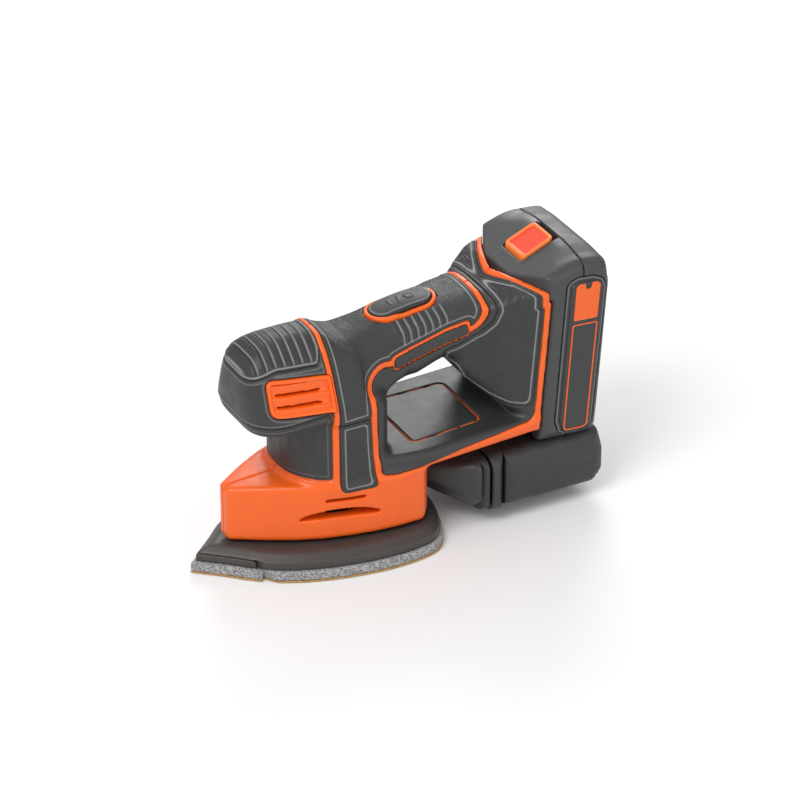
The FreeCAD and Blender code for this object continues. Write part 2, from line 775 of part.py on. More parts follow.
# ---- assembly ------------------------------------------------------------------------------------------
def build():
    nodes = skins()
    panels = list(nodes.values())
    nodes["left_housing"], nodes["right_housing"] = housing(panels)
    channels = screw_holes()
    for name in list(nodes):
        if name not in ("left_housing", "right_housing"):
            nodes[name] = largest(nodes[name].cut(channels))
    for name in ("left_motor_vent", "right_motor_vent"):
        nodes[name] = nodes[name].cut(vent_slots())
    nodes["top_grip"] = ribbed(nodes["top_grip"])
    nodes["handle_grip"] = largest(nodes["handle_grip"].cut(switch_space()))
    nodes["housing_screws"] = housing_screws()
    nodes["switch_frame"] = switch_frame()
    nodes["switch_rocker"] = switch_rocker()
    nodes["switch_body"] = switch_body()
    nodes["motor_can"] = motor_can()
    nodes["motor_magnets"] = motor_magnets()
    nodes["motor_end_cap"] = motor_end_cap()
    nodes["carbon_brushes"] = carbon_brushes()
    nodes["upper_bearing"] = bearing(5.0, THIN_SHAFT_R + 0.03, 0, 106, CAP_HIGH)
    nodes["lower_bearing"] = bearing(BEARING_R, BEARING_BORE, 0, 46.6, 53.5)
    nodes["armature_shaft"] = armature_shaft()
    nodes["armature_core"] = armature_core()
    nodes["commutator"] = commutator()
    nodes["cooling_fan"] = fan()
    nodes["counterweight"] = counterweight()
    nodes["eccentric_pin"] = eccentric_pin()
    nodes["retaining_screw"] = retaining_screw()
    platen, tip = platen_parts()
    nodes["platen"] = dust_passages(platen)
    nodes["platen_tip"] = tip.cut(platen_screws())
    nodes["platen_screws"] = platen_screws()
    nodes["platen_bearing"] = bearing(BEARING_R, BEARING_BORE, ORBIT, 17, 24)
    foam_tip, foam = tip_and_main(layer_between(0, SHEET_T, PAD_TOP))
    nodes["foam_pad"], nodes["foam_pad_tip"] = dust_passages(foam), foam_tip
    sheet_tip, sheet = tip_and_main(layer_between(0.3, 0, SHEET_T))
    nodes["sanding_sheet"], nodes["sanding_sheet_tip"] = dust_passages(sheet), sheet_tip
    nodes["platen_legs"] = platen_legs()
    nodes["dust_spigot"] = dust_spigot()
    nodes["dust_adaptor"] = dust_adaptor()
    nodes["canister_collar"] = canister_collar()
    nodes["filter_frame"] = filter_frame()
    nodes["filter_element"] = filter_element()
    nodes["dust_cup"] = dust_cup()
    nodes["battery_front_shell"], nodes["battery_rear_cover"] = pack_shells()
    nodes["label_pads"] = label_pads()
    nodes["release_button"] = release_button()
    nodes["latch_spring"] = latch_spring()
    nodes["battery_cells"] = battery_cells()
    nodes["cell_holder"] = cell_holder()
    nodes["battery_board"] = battery_board()
    nodes["battery_contacts"] = battery_contacts()
    nodes["terminal_block"] = terminal_block()
    nodes["tool_terminals"] = tool_terminals()
    nodes["battery_rails"] = battery_rails()
    nodes["leads"] = Part.makeCompound(supply_leads() + motor_leads())
    return nodes


def main():
    os.makedirs("parts", exist_ok=True)
    for name, shape in build().items():
        print(name, shape.isValid(), len(shape.Solids), round(shape.Volume), flush=True)
        shape.exportStep(f"parts/{name}.step")


main()
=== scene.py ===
import json
import math

import bpy
import numpy as np
import openvdb
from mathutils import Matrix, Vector


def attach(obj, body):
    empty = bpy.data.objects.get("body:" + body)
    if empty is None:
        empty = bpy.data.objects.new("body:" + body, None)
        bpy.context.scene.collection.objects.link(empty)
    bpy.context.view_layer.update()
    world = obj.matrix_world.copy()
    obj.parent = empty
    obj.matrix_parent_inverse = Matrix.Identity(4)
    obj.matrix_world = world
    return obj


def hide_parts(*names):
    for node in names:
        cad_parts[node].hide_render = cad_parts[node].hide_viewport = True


# Detail mouse sander: the looks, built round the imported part. Lengths are in millimetres up to the
# point where a mesh is made. Nose towards -X, the tool's left side is -Y, +Z up.

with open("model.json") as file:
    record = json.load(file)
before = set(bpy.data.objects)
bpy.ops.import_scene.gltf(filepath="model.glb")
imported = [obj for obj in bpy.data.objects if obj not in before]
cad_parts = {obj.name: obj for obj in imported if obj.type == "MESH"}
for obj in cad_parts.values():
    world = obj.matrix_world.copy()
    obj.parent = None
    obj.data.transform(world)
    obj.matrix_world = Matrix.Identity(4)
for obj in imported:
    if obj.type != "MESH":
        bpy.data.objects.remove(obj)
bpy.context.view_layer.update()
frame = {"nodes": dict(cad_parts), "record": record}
MM = 0.001
LEAN = math.radians(4.0)
LEAN_X, LEAN_Z = 108.3, 60.0


# ---- distance fields --------------------------------------------------------------------------
def smin(a, b, k):
    """The union of two fields, with a blend about k wide."""
    h = np.clip(0.5 + 0.5 * (b - a) / k, 0.0, 1.0)
    return b + (a - b) * h - k * h * (1.0 - h)


def smax(a, b, k):
    """What two fields share, with a blend about k wide."""
    return -smin(-a, -b, k)


def fillet(points, radii, steps=5):
    """The outline with its corners rounded."""
    result = []
    n = len(points)
    for i in range(n):
        r = radii if isinstance(radii, (int, float)) else radii[i]
        p = np.array(points[i], float)
        a = np.array(points[i - 1], float) - p
        c = np.array(points[(i + 1) % n], float) - p
        la, lc = np.linalg.norm(a), np.linalg.norm(c)
        cosine = np.clip(a @ c / (la * lc), -1, 1)
        half = math.acos(cosine) / 2
        if r <= 0 or half > 1.5:
            result.append(tuple(p))
            continue
        run = min(r / math.tan(half), 0.48 * la, 0.48 * lc)
        start, end = p + a / la * run, p + c / lc * run
        for j in range(steps + 1):
            t = j / steps
            result.append(tuple((1 - t) ** 2 * start + 2 * t * (1 - t) * p + t * t * end))
    return result


def poly(u, v, points):
    """Signed distance to a closed outline, negative inside."""
    best, inside = None, None
    for i in range(len(points)):
        ax, ay = points[i]
        bx, by = points[i - 1]
        ex, ey = bx - ax, by - ay
        long2 = ex * ex + ey * ey
        if long2 < 1e-12:
            continue
        wx, wy = u - ax, v - ay
        t = np.clip((wx * ex + wy * ey) / long2, 0.0, 1.0)
        dx, dy = wx - ex * t, wy - ey * t
        q = dx * dx + dy * dy
        above, below, side = v >= ay, v < by, ex * wy > ey * wx
        flip = (above & below & side) | (~above & ~below & ~side)
        best = q if best is None else np.minimum(best, q)
        inside = flip if inside is None else inside ^ flip
    d = np.sqrt(best)
    return np.where(inside, -d, d)


def line(u, v, points):
    """Distance to an open line."""
    best = None
    for (ax, ay), (bx, by) in zip(points, points[1:]):
        ex, ey = bx - ax, by - ay
        wx, wy = u - ax, v - ay
        t = np.clip((wx * ex + wy * ey) / (ex * ex + ey * ey), 0.0, 1.0)
        q = (wx - ex * t) ** 2 + (wy - ey * t) ** 2
        best = q if best is None else np.minimum(best, q)
    return np.sqrt(best)


def curve(points, steps=6):
    """An open smooth line through the points."""
    pts = [np.array(p, float) for p in points]
    pts = [2 * pts[0] - pts[1]] + pts + [2 * pts[-1] - pts[-2]]
    result = []
    for i in range(1, len(pts) - 2):
        a, b, c, d = pts[i - 1 : i + 3]
        for j in range(steps):
            t = j / steps
            q = 0.5 * (2 * b + (c - a) * t + (2 * a - 5 * b + 4 * c - d) * t * t + (3 * b - a - 3 * c + d) * t ** 3)
            result.append(tuple(q))
    result.append(tuple(pts[-2]))
    return result


def prism(d, t, half, r=0.0):
    """An outline's distance d carried through a thickness 2 half, its rims rounded by r."""
    w1, w2 = d + r, np.abs(t) - half + r
    outside = np.sqrt(np.maximum(w1, 0) ** 2 + np.maximum(w2, 0) ** 2)
    return np.minimum(np.maximum(w1, w2), 0) + outside - r


def block(x, y, z, lo, hi, r=0.0):
    """A box with rounded edges."""
    c = [(a + b) / 2 for a, b in zip(lo, hi)]
    h = [(b - a) / 2 - r for a, b in zip(lo, hi)]
    qx, qy, qz = np.abs(x - c[0]) - h[0], np.abs(y - c[1]) - h[1], np.abs(z - c[2]) - h[2]
    out = np.sqrt(np.maximum(qx, 0) ** 2 + np.maximum(qy, 0) ** 2 + np.maximum(qz, 0) ** 2)
    return out + np.minimum(np.maximum(np.maximum(qx, qy), qz), 0) - r


def upright(x, z):
    """Coordinates in the battery's own upright frame."""
    c, s = math.cos(LEAN), math.sin(LEAN)
    dx, dz = x - LEAN_X, z - LEAN_Z
    return LEAN_X + dx * c - dz * s, LEAN_Z + dx * s + dz * c


# ---- meshes -----------------------------------------------------------------------------------
def field_mesh(f, lo, hi, step):
    """Points and quads of the surface f = 0 inside a box."""
    axes = [np.arange(a - 2.5 * step, b + 3 * step, step, dtype=np.float32) for a, b in zip(lo, hi)]
    shape = tuple(len(a) for a in axes)
    x, y, z = axes[0][:, None, None], axes[1][None, :, None], axes[2][None, None, :]
    values = np.broadcast_to(np.asarray(f(x, y, z), np.float32), shape)
    values = np.clip(values / step, -3, 3).astype(np.float32)
    for axis in range(3):
        values = np.moveaxis(values, axis, 0)
        values[0] = np.maximum(values[0], 0.5)
        values[-1] = np.maximum(values[-1], 0.5)
        values = np.moveaxis(values, 0, axis)
    grid = openvdb.FloatGrid(3.0)
    grid.copyFromArray(np.ascontiguousarray(values))
    points, quads = grid.convertToQuads(0.0)
    start = np.array([a[0] for a in axes])
    return points.astype(np.float64) * step + start, quads.astype(np.int64)


def normals_of(points, quads):
    a, b, c, d = (points[quads[:, i]] for i in range(4))
    n = np.cross(c - a, d - b)
    result = np.zeros_like(points)
    for i in range(4):
        for k in range(3):
            result[:, k] += np.bincount(quads[:, i], weights=n[:, k], minlength=len(points))
    return result / np.maximum(np.linalg.norm(result, axis=1, keepdims=True), 1e-12)


def to_object(name, points, quads, values=None):
    mesh = bpy.data.meshes.new(name)
    mesh.vertices.add(len(points))
    mesh.vertices.foreach_set("co", (points * MM).astype(np.float32).ravel())
    mesh.loops.add(quads.size)
    mesh.loops.foreach_set("vertex_index", quads.astype(np.int32).ravel())
    mesh.polygons.add(len(quads))
    mesh.polygons.foreach_set("loop_start", np.arange(0, quads.size, 4, dtype=np.int32))
    mesh.polygons.foreach_set("use_smooth", np.ones(len(quads), bool))
    mesh.update(calc_edges=True)
    mesh.validate()
    for key, value in (values or {}).items():
        attribute = mesh.attributes.new(key, "FLOAT", "POINT")
        attribute.data.foreach_set("value", np.asarray(value, np.float32))
    obj = bpy.data.objects.new(name, mesh)
    bpy.context.scene.collection.objects.link(obj)
    return obj


def piece(name, f, lo, hi, step, finish, body, nodes=(), relief=None):
    """A piece of the object from its distance field. relief(x, y, z, normals) gives how far each
    point moves outwards and the values its material reads."""
    points, quads = field_mesh(f, lo, hi, step)
    values = {}
    if relief is not None:
        n = normals_of(points, quads)
        lift, values = relief(points[:, 0], points[:, 1], points[:, 2], n)
        points = points + n * np.asarray(lift)[:, None]
    obj = to_object(name, points, quads, values)
    obj.data.materials.append(finish)
    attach(obj, body)
    if nodes:
        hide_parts(*nodes)
    return obj


# ---- finishes ---------------------------------------------------------------------------------
def rgb(text):
    def linear(c):
        return c / 12.92 if c <= 0.04045 else ((c + 0.055) / 1.055) ** 2.4
    return [linear(int(text[i : i + 2], 16) / 255) for i in (1, 3, 5)] + [1.0]


def finish(name, colour, rough, grain=0.0, grain_size=0.5, mottle=0.06, metal=0.0, spread=0.08, marks=0.0,
           painted_light_colour=None, coat=0.0, speckle=None):
    """A procedural finish: mottled colour, uneven gloss, fine grain and faint marks of handling. An optional flat
    colour is mixed in by the mesh's edge values as painted highlights or painted shade.
    """
    material = bpy.data.materials.new(name)
    material.use_nodes = True
    tree = material.node_tree
    shader = tree.nodes["Principled BSDF"]
    shader.inputs["Metallic"].default_value = metal
    shader.inputs["Coat Weight"].default_value = coat
    shader.inputs["Coat Roughness"].default_value = 0.25
    link, new = tree.links.new, tree.nodes.new
    coords = new("ShaderNodeTexCoord").outputs["Object"]

    def noise(size, detail=3.0, rough_n=0.55):
        node = new("ShaderNodeTexNoise")
        node.inputs["Scale"].default_value = 1.0 / (size * MM)
        node.inputs["Detail"].default_value = detail
        node.inputs["Roughness"].default_value = rough_n
        link(coords, node.inputs["Vector"])
        return node.outputs["Fac"]

    def spread_to(value, low, high):
        node = new("ShaderNodeMapRange")
        node.inputs["From Min"].default_value = 0.3
        node.inputs["From Max"].default_value = 0.7
        node.inputs["To Min"].default_value = low
        node.inputs["To Max"].default_value = high
        link(value, node.inputs["Value"])
        return node.outputs["Result"]

    base = rgb(colour) if isinstance(colour, str) else colour
    shade = new("ShaderNodeMix")
    shade.data_type = "RGBA"
    shade.inputs["A"].default_value = [c * (1 - mottle) for c in base[:3]] + [1]
    shade.inputs["B"].default_value = [min(1, c * (1 + mottle)) for c in base[:3]] + [1]
    link(noise(14.0, 4), shade.inputs["Factor"])
    result = shade.outputs["Result"]
    if speckle is not None:
        dots = new("ShaderNodeTexVoronoi")
        dots.inputs["Scale"].default_value = 1.0 / (speckle[1] * MM)
        link(coords, dots.inputs["Vector"])
        mix = new("ShaderNodeMix")
        mix.data_type = "RGBA"
        link(spread_to(dots.outputs["Distance"], 1.0, 0.0), mix.inputs["Factor"])
        link(result, mix.inputs["A"])
        mix.inputs["B"].default_value = rgb(speckle[0])
        result = mix.outputs["Result"]
    # Painted light: where the mesh's edge values rise, a flat colour is mixed into the base colour. On ridges, lips and
    # knurl tips it is a painted highlight; in the release button's dish it is painted shade.
    if painted_light_colour is not None:
        read = new("ShaderNodeAttribute")
        read.attribute_name = "edge"
        mix = new("ShaderNodeMix")
        mix.data_type = "RGBA"
        link(read.outputs["Fac"], mix.inputs["Factor"])
        link(result, mix.inputs["A"])
        mix.inputs["B"].default_value = rgb(painted_light_colour)
        result = mix.outputs["Result"]
    link(result, shader.inputs["Base Color"])
    link(spread_to(noise(6.0, 5), max(0.02, rough - spread), min(1, rough + spread)), shader.inputs["Roughness"])
    height = None
    if grain > 0:
        bump = new("ShaderNodeBump")
        bump.inputs["Strength"].default_value = 1.0
        bump.inputs["Distance"].default_value = grain * MM
        link(noise(grain_size, 2), bump.inputs["Height"])
        height = bump.outputs["Normal"]
    if marks > 0:
        scratch = new("ShaderNodeTexNoise")
        scratch.inputs["Scale"].default_value = 90.0
        scratch.inputs["Detail"].default_value = 8.0
        scratch.inputs["Distortion"].default_value = 1.5
        link(coords, scratch.inputs["Vector"])
        bump = new("ShaderNodeBump")
        bump.inputs["Strength"].default_value = 0.6
        bump.inputs["Distance"].default_value = marks * MM
        link(scratch.outputs["Fac"], bump.inputs["Height"])
        if height is not None:
            link(height, bump.inputs["Normal"])
        height = bump.outputs["Normal"]
    if height is not None:
        link(height, shader.inputs["Normal"])
    return material


ORANGE = finish("orange_moulding", "#EA5F10", 0.40, grain=0.03, grain_size=0.35, mottle=0.05, marks=0.05)
DARK = finish("dark_moulding", "#303132", 0.45, grain=0.03, grain_size=0.3, mottle=0.05, spread=0.03, marks=0.02)
# The grey given to the grip and leather skins is a painted highlight, mixed in along their fine ridges and lips through
# the edge values.
GRIP = finish("soft_grip_skin", "#2D2E2E", 0.5, grain=0.03, grain_size=0.25, mottle=0.1, painted_light_colour="#9A9A9A")
LEATHER = finish("leather_grain_skin", "#2F3030", 0.48, grain=0.10, grain_size=0.55, mottle=0.1, painted_light_colour="#9A9A9A")
PACK = finish("pack_moulding", "#3C3D3E", 0.45, grain=0.035, grain_size=0.3, mottle=0.06, marks=0.06)
BLACK = finish("black_moulding", "#1B1B1B", 0.5, grain=0.03, grain_size=0.3, mottle=0.1)
PLATEN = finish("platen_moulding", "#3F3A38", 0.45, grain=0.05, grain_size=0.4, mottle=0.1, marks=0.08)
FOAM = finish("foam_pad", "#A8A8A8", 0.95, grain=0.22, grain_size=0.5, mottle=0.12, speckle=("#6E6E6E", 1.1))
SHEET = finish("abrasive_sheet", "#CFA56A", 0.9, grain=0.12, grain_size=0.25, mottle=0.1, speckle=("#8A6230", 0.45))
# The grey given to the knurled cup is a painted highlight on the knurl tips.
KNURL = finish("knurled_cup", "#2E2F2F", 0.45, grain=0.03, grain_size=0.25, mottle=0.08, painted_light_colour="#8A8A8A")
STEEL = finish("bright_steel", "#B8B8BA", 0.28, grain=0.01, grain_size=0.3, mottle=0.06, metal=1.0, marks=0.02)
MOTOR = finish("motor_steel_plate", "#8E9092", 0.4, grain=0.02, grain_size=0.4, mottle=0.08, metal=1.0, marks=0.03)
COPPER = finish("copper_parts", "#B86A3A", 0.3, grain=0.02, grain_size=0.3, mottle=0.1, metal=1.0)
ZINC = finish("cast_zinc", "#9A9C9E", 0.5, grain=0.06, grain_size=0.5, mottle=0.08, metal=1.0)
FERRITE = finish("sintered_ferrite", "#3A3B40", 0.7, grain=0.05, grain_size=0.3)
CARBON = finish("brush_carbon", "#26262A", 0.6, grain=0.05, grain_size=0.25)
PAPER = finish("pleated_filter", "#E6DFCB", 0.9, grain=0.08, grain_size=0.4, mottle=0.06)
CELL = finish("cell_wrap", "#3E7A8C", 0.35, grain=0.01, grain_size=0.4, mottle=0.05, coat=0.3)
BOARD = finish("circuit_board", "#1F5A38", 0.4, grain=0.02, grain_size=0.4, mottle=0.1)
LEAD = finish("red_lead", "#B02018", 0.45, grain=0.02, grain_size=0.4)
# The grey given to the label pad is a painted highlight on its rim ridge.
LABEL = finish("label_pad", "#2E2E30", 0.4, grain=0.02, grain_size=0.3, mottle=0.06, painted_light_colour="#9A9A9A")

CAD_FINISH = {
    "orange_plastic": ORANGE, "dark_plastic": DARK, "soft_grip": GRIP, "black_plastic": BLACK, "steel": STEEL,
    "motor_steel": MOTOR, "copper": COPPER, "zinc": ZINC, "ferrite": FERRITE, "carbon": CARBON, "foam": FOAM,
    "abrasive": SHEET, "filter_paper": PAPER, "cell_can": CELL, "board_green": BOARD, "lead_red": LEAD,
    "label_grey": LABEL,
}
for part in frame["record"]["subparts"]:
    node = frame["nodes"].get(part["node"])
    if node is not None:
        node.data.materials.clear()
        node.data.materials.append(CAD_FINISH.get(part.get("material_slot"), BLACK))


# ---- the housing's outer form -------------------------------------------------------------------
SKIRT = fillet([(-60.6, -4.2), (-43.2, -15), (-30.3, -22), (-16.6, -27.6), (-2, -31.6), (11.4, -34.2), (23.7, -35.4),
                (38.6, -35.4), (45.5, -26), (45.5, 26), (38.6, 35.4), (23.7, 35.4), (11.4, 34.2), (-2, 31.6),
                (-16.6, 27.6), (-30.3, 22), (-43.2, 15), (-60.6, 4.2)],
               [3.5, 30, 30, 30, 30, 30, 20, 5, 10, 10, 5, 20, 30, 30, 30, 30, 30, 3.5])
COLUMN_HALF = [(24, 30.8), (-5, 30.8), (-12, 28.4), (-19.5, 24.5), (-25.5, 19), (-29.3, 12.5), (-30.6, 5)]
COLUMN = fillet([(x, -y) for x, y in reversed(COLUMN_HALF)] + COLUMN_HALF, [8] * 6 + [14, 14] + [8] * 6, 6)
HEAD_SIDE = [(-30, 82.6), (10, 82.6), (9, 110), (6, 117), (0, 121.5), (-6, 126.0), (-11, 128.8), (-18, 130.2),
             (-28, 130.3), (-36, 129.2), (-42.6, 126.8), (-47.6, 123.2), (-51.4, 118.6), (-53.7, 113), (-55.1, 106),
             (-55.7, 99), (-55.7, 92), (-55.1, 87.6), (-52.8, 84.0), (-48.4, 82.6), (-40, 82.4)]
HEAD_HALF = ([83, 86, 89, 92.5, 97, 102.5, 109, 115.4, 121.4, 126.7], [30, 31, 31, 30.6, 29.2, 26.8, 24, 21, 17, 12])
HEAD_SECTION = [(0, 130.2), (5, 129.6), (11, 126.7), (17, 121.4), (21, 115.4), (24, 109), (26.8, 102.5), (29.2, 97),
                (30.6, 92.5), (30.8, 89), (30.0, 86), (27, 83.8), (20, 82.7), (10, 82.4)]
HEAD_SECTION = HEAD_SECTION + [(0, 82.3)] + [(-y, z) for y, z in reversed(HEAD_SECTION[1:])]
SHOULDER = fillet([(-11, 84), (23, 84), (25.4, 89), (30, 94), (34, 96.6), (34, 133), (-11, 133)],
                  [1, 6, 6, 6, 2, 2, 1])
HANDLE = fillet([(0, 84), (20, 84), (30, 88.5), (40, 90.6), (46, 90.8), (58, 95), (68, 97), (80, 98), (86, 110),
                 (84, 130.0), (75, 129.4), (61, 128.7), (45, 127.0), (33, 125.2), (18, 122.0), (5, 119.6), (0, 119)],
                [2, 12, 10, 8, 8, 8, 8, 4, 10, 3, 20, 20, 20, 20, 20, 10, 2])
FOOT = fillet([(65, 102), (67.6, 91), (73.5, 82.5), (84, 71.0), (93, 63.5), (108, 52), (120, 52), (120, 137.6),
               (112, 137.6), (98, 135.4), (90, 130.4), (84, 127), (66, 124)], [4, 8, 14, 16, 14, 2, 1, 1, 4, 8, 8, 8, 4])
FOOT_PLAN = fillet([(56, -16.5), (76, -18.5), (90, -27.5), (104, -34), (114, -37.6), (124, -39), (124, 39), (114, 37.6),
                    (104, 34), (90, 27.5), (76, 18.5), (56, 16.5)], [3, 14, 20, 20, 20, 1, 1, 20, 20, 20, 14, 3])
RAIL = fillet([(10, 43), (30, 44), (37, 47), (108.3, 50.2), (108.3, 59), (84, 58.3), (37, 57), (10, 57)],
              [1, 10, 8, 1, 1, 10, 10, 1])
HANDLE_TOP = ([0, 5, 18, 33, 45, 61, 75, 84], [119, 119.6, 122, 125.2, 127, 128.7, 129.4, 130])
FOOT_TOP = ([66, 84, 90, 98, 112, 120], [124, 127, 130.4, 135.4, 137.6, 137.6])
REAR_EDGE = 0.9


def rear_plane(x, z):
    """Distance behind the foot's back, which leans with the battery."""
    ux, _ = upright(x, z)
    return ux - LEAN_X


def lip_edge(y):
    """Where the pack's top lip meets the foot: forward at the middle, back at the sides."""
    return 96.8 + 16.4 * (np.abs(y) / 37.5) ** 1.45


def under_lip(x, y, z):
    """The room that the pack's lip takes from the foot's top."""
    return np.maximum(lip_edge(y) - x, 130.0 - 0.1 * np.abs(y) - z)


def form(x, y, z):
    """The tool's smooth outer form, before anything is let into it."""
    skirt = prism(poly(x, y, SKIRT), z - 32.0, 16.6, 3.4)
    skirt = smax(skirt, z - 47.2 - 0.13 * np.clip(x + 60, 0, 26), 3)
    column = prism(poly(x, y, COLUMN), z - 66, 28, 8)
    section = poly(y, z, HEAD_SECTION)
    width = np.interp(z, *HEAD_HALF) / 31
    q, p = np.maximum((-31.7 - x) / 24, 0), np.maximum((np.abs(y) - 7.4 * width) / (24 * width), 0)
    nose = (np.sqrt(q * q + p * p) - 1) * 24 * width
    head = smax(smax(poly(x, z, HEAD_SIDE), nose, 5), section, 3.5)
    share = np.clip((x - 3) / 27, 0, 1)
    share = share * share * (3 - 2 * share)
    half = 1 - 0.415 * share
    crown = np.interp(x, [-10, -2, 6, 14, 22, 30], [129.5, 124.2, 121.0, 121.4, 123, 124.6])
    flank = np.interp(z + 130.2 - crown, *HEAD_HALF) * half
    shoulder = smax((np.abs(y) - flank) * 0.82, z + 0.012 * y * y - crown, 3)
    shoulder = smax(shoulder, poly(x, z, SHOULDER), 3)
    handle = prism(poly(x, z, HANDLE), y, 17.9, 9)
    handle = smax(handle, z + 0.016 * y * y - 0.4 - np.interp(x, *HANDLE_TOP), 2)
    foot = smax(prism(poly(x, z, FOOT), y, 38.5, 7), poly(x, y, FOOT_PLAN), 6)
    foot = smax(foot, z + 0.0045 * y * y - 0.4 - np.interp(x, *FOOT_TOP), 2)
    widen = np.clip((x - 10) / 36, 0, 1)
    rail = prism(poly(x, z, RAIL), y * 36 / (31 + 5 * widen * widen * (3 - 2 * widen)), 36, 4)
    d = smin(skirt, column, 3)
    d = smin(d, head, 2)
    d = smin(d, shoulder, 3)
    d = smin(d, handle, 7)
    d = smin(d, foot, 6)
    d = smin(d, rail, 5)
    d = smax(d, rear_plane(x, z), REAR_EDGE)
    return smax(d, -under_lip(x, y, z), 0.6)


# ---- regions on the form, seen from the side ------------------------------------------------------
STRIPE = curve([(14.4, 43), (13.4, 56), (12.6, 70), (12.2, 84), (12.9, 93), (15.0, 99.4), (18.9, 103), (23.4, 104.7),
                (29.8, 104.2)])
PLATE = fillet([(30.2, 99.6), (73.8, 110), (72.6, 117), (30.6, 106.6)], [2.5, 2.5, 3, 3])
TOP_BAND = curve([(30.8, 104.8), (31.8, 107.2), (50, 111.8), (70.4, 116.8), (72.4, 115.0), (73.4, 112.6), (77, 114.2),
                  (80.4, 118.4), (82.0, 124.4), (82.2, 130), (81.6, 137)])
VENT = fillet([(-44.9, 96.6), (-9.4, 92.6), (-9.4, 111.0), (-44.7, 115.2)], [4.5, 1, 1, 4.5])
NOSE_CAP = fillet([(-80, 113), (-54, 113.5), (-47, 115.4), (-38, 117.8), (-14, 116.2), (-11.0, 123.5), (-11.0, 145),
                   (-80, 145)], [1, 6, 6, 10, 3, 2, 1, 1])
NECK = fillet([(-70, 90), (-70, 52.2), (-28, 52.2), (-18, 51.2), (-10.6, 50.6), (-11.0, 88), (-13, 92)],
              [1, 1, 10, 6, 3, 3, 1])
COLUMN_LOW = fillet([(-8, 83.7), (-7.4, 42.6), (14.4, 43.4), (13.4, 56), (12.6, 70), (12.2, 83.7)],
                    [0, 4, 0, 0, 0, 0])
GRIP_TOP = fillet([(-8, 83.7), (-8, 112), (-8, 124), (-8, 140), (81, 145), (82.0, 124.4), (80.4, 118.4), (77, 114.2),
                   (73.4, 112.6), (72.4, 115.0), (70.4, 116.8), (31.8, 107.2), (29.8, 104.2), (23.4, 104.7),
                   (18.9, 103), (15.0, 99.4), (12.9, 93), (12.2, 83.7)], 0)
COVER = fillet([(13.4, 60), (15.4, 48.4), (24, 47.8), (37, 48.9), (62.4, 53.4), (93.8, 56.8), (120, 59.2),
                (120, 118), (120, 133), (98, 145), (81.6, 145), (82.2, 130), (82.0, 124.4),
                (80.4, 118.4), (77, 114.2), (73.4, 112.6), (73, 110), (30.2, 99.6), (29.8, 104.2), (23.4, 104.7),
                (18.9, 103), (15.0, 99.4), (12.9, 93), (12.2, 84), (12.6, 70)],
               [0, 4, 2, 6, 8, 8, 2, 0, 5, 2] + [0] * 15)
FOOT_PANEL = fillet([(60, 97), (67, 90), (72.5, 80.5), (83, 71.5), (92, 66.6), (101, 65.2), (120, 67.6), (120, 112),
                     (120, 129.5), (120, 148), (90, 148), (85.5, 145), (87, 130), (86.8, 123), (84.6, 116.6),
                     (79.6, 110.8), (72, 107), (60, 103)], [1, 4, 8, 10, 6, 4, 2, 2, 4, 4, 1, 1, 6, 6, 6, 8, 4, 2])
STRIPE_W, BAND_W, PLATE_LINE, TRIM_W = 1.75, 1.6, 0.55, 3.2
DEPTH, RAISE, SEAM = 1.3, 0.15, 0.22
RING_X = -11.0


def on_sides(d, y, inner):
    """A region that exists only on the two flanks, outside |y| = inner."""
    return np.maximum(d, inner - np.abs(y))


def mask_vent(x, y, z):
    return on_sides(poly(x, z, VENT), y, 12)


def mask_cap(x, y, z):
    return poly(x, z, NOSE_CAP)


def mask_neck(x, y, z):
    return poly(x, z, NECK)


def mask_bumper(x, y, z):
    d = np.maximum(x - RING_X, 60 - z)
    d = np.maximum(d, -poly(x, z, NOSE_CAP))
    d = np.maximum(d, -mask_vent(x, y, z))
    return np.maximum(d, -poly(x, z, NECK))


def mask_column(x, y, z):
    return on_sides(smax(poly(x, z, COLUMN_LOW), STRIPE_W - line(x, z, STRIPE), 3), y, 12)


def switch_coords(x, z):
    t = math.radians(-6.5)
    dx, dz = x - 43.0, z - 128.7
    return dx * math.cos(t) - dz * math.sin(t), dx * math.sin(t) + dz * math.cos(t)


def oval(u, y, long_half, half):
    return np.sqrt(np.maximum(np.abs(u) - (long_half - half), 0) ** 2 + y * y) - half


def mask_switch(x, y, z):
    u, w = switch_coords(x, z)
    return np.maximum(oval(u, y, 20.2, 10.4), -w - 6)


def grip_outline(x, y, z):
    d = np.maximum(poly(x, z, GRIP_TOP), STRIPE_W - line(x, z, STRIPE))
    return np.maximum(d, BAND_W - line(x, z, TOP_BAND))


def mask_grip(x, y, z):
    return np.maximum(grip_outline(x, y, z), -mask_switch(x, y, z))


def mask_plate(x, y, z):
    return on_sides(poly(x, z, PLATE), y, 8)


def to_edge(x, y, z):
    """How far a point of the foot lies ahead of the pack: of its front, or of its lip on top."""
    return np.minimum(-rear_plane(x, z), lip_edge(y) - x + np.maximum(0, 124 - z))


def mask_foot(x, y, z):
    return smax(poly(x, z, FOOT_PANEL), TRIM_W + 1.4 - to_edge(x, y, z), 4)


def cover_room(x, y, z):
    """The pocket for the dark cover: handle underside, rail and foot, up to the orange lines."""
    d = np.maximum(poly(x, z, COVER), STRIPE_W - line(x, z, STRIPE))
    d = np.maximum(d, BAND_W - line(x, z, TOP_BAND))
    d = np.maximum(d, PLATE_LINE - mask_plate(x, y, z))
    d = np.maximum(d, 0.75 - mask_deck(x, y, z))
    return smax(d, TRIM_W - to_edge(x, y, z), 6)


def mask_cover(x, y, z):
    return np.maximum(cover_room(x, y, z), -mask_foot(x, y, z))


def head_room(x, y, z):
    """The pocket for the head's dark skins, all round the motor vents."""
    return np.maximum(np.maximum(x - RING_X, np.maximum(49.6 - z, -poly(x, z, VENT))),
                      -0.6 + np.minimum(mask_neck(x, y, z), 84 - z))


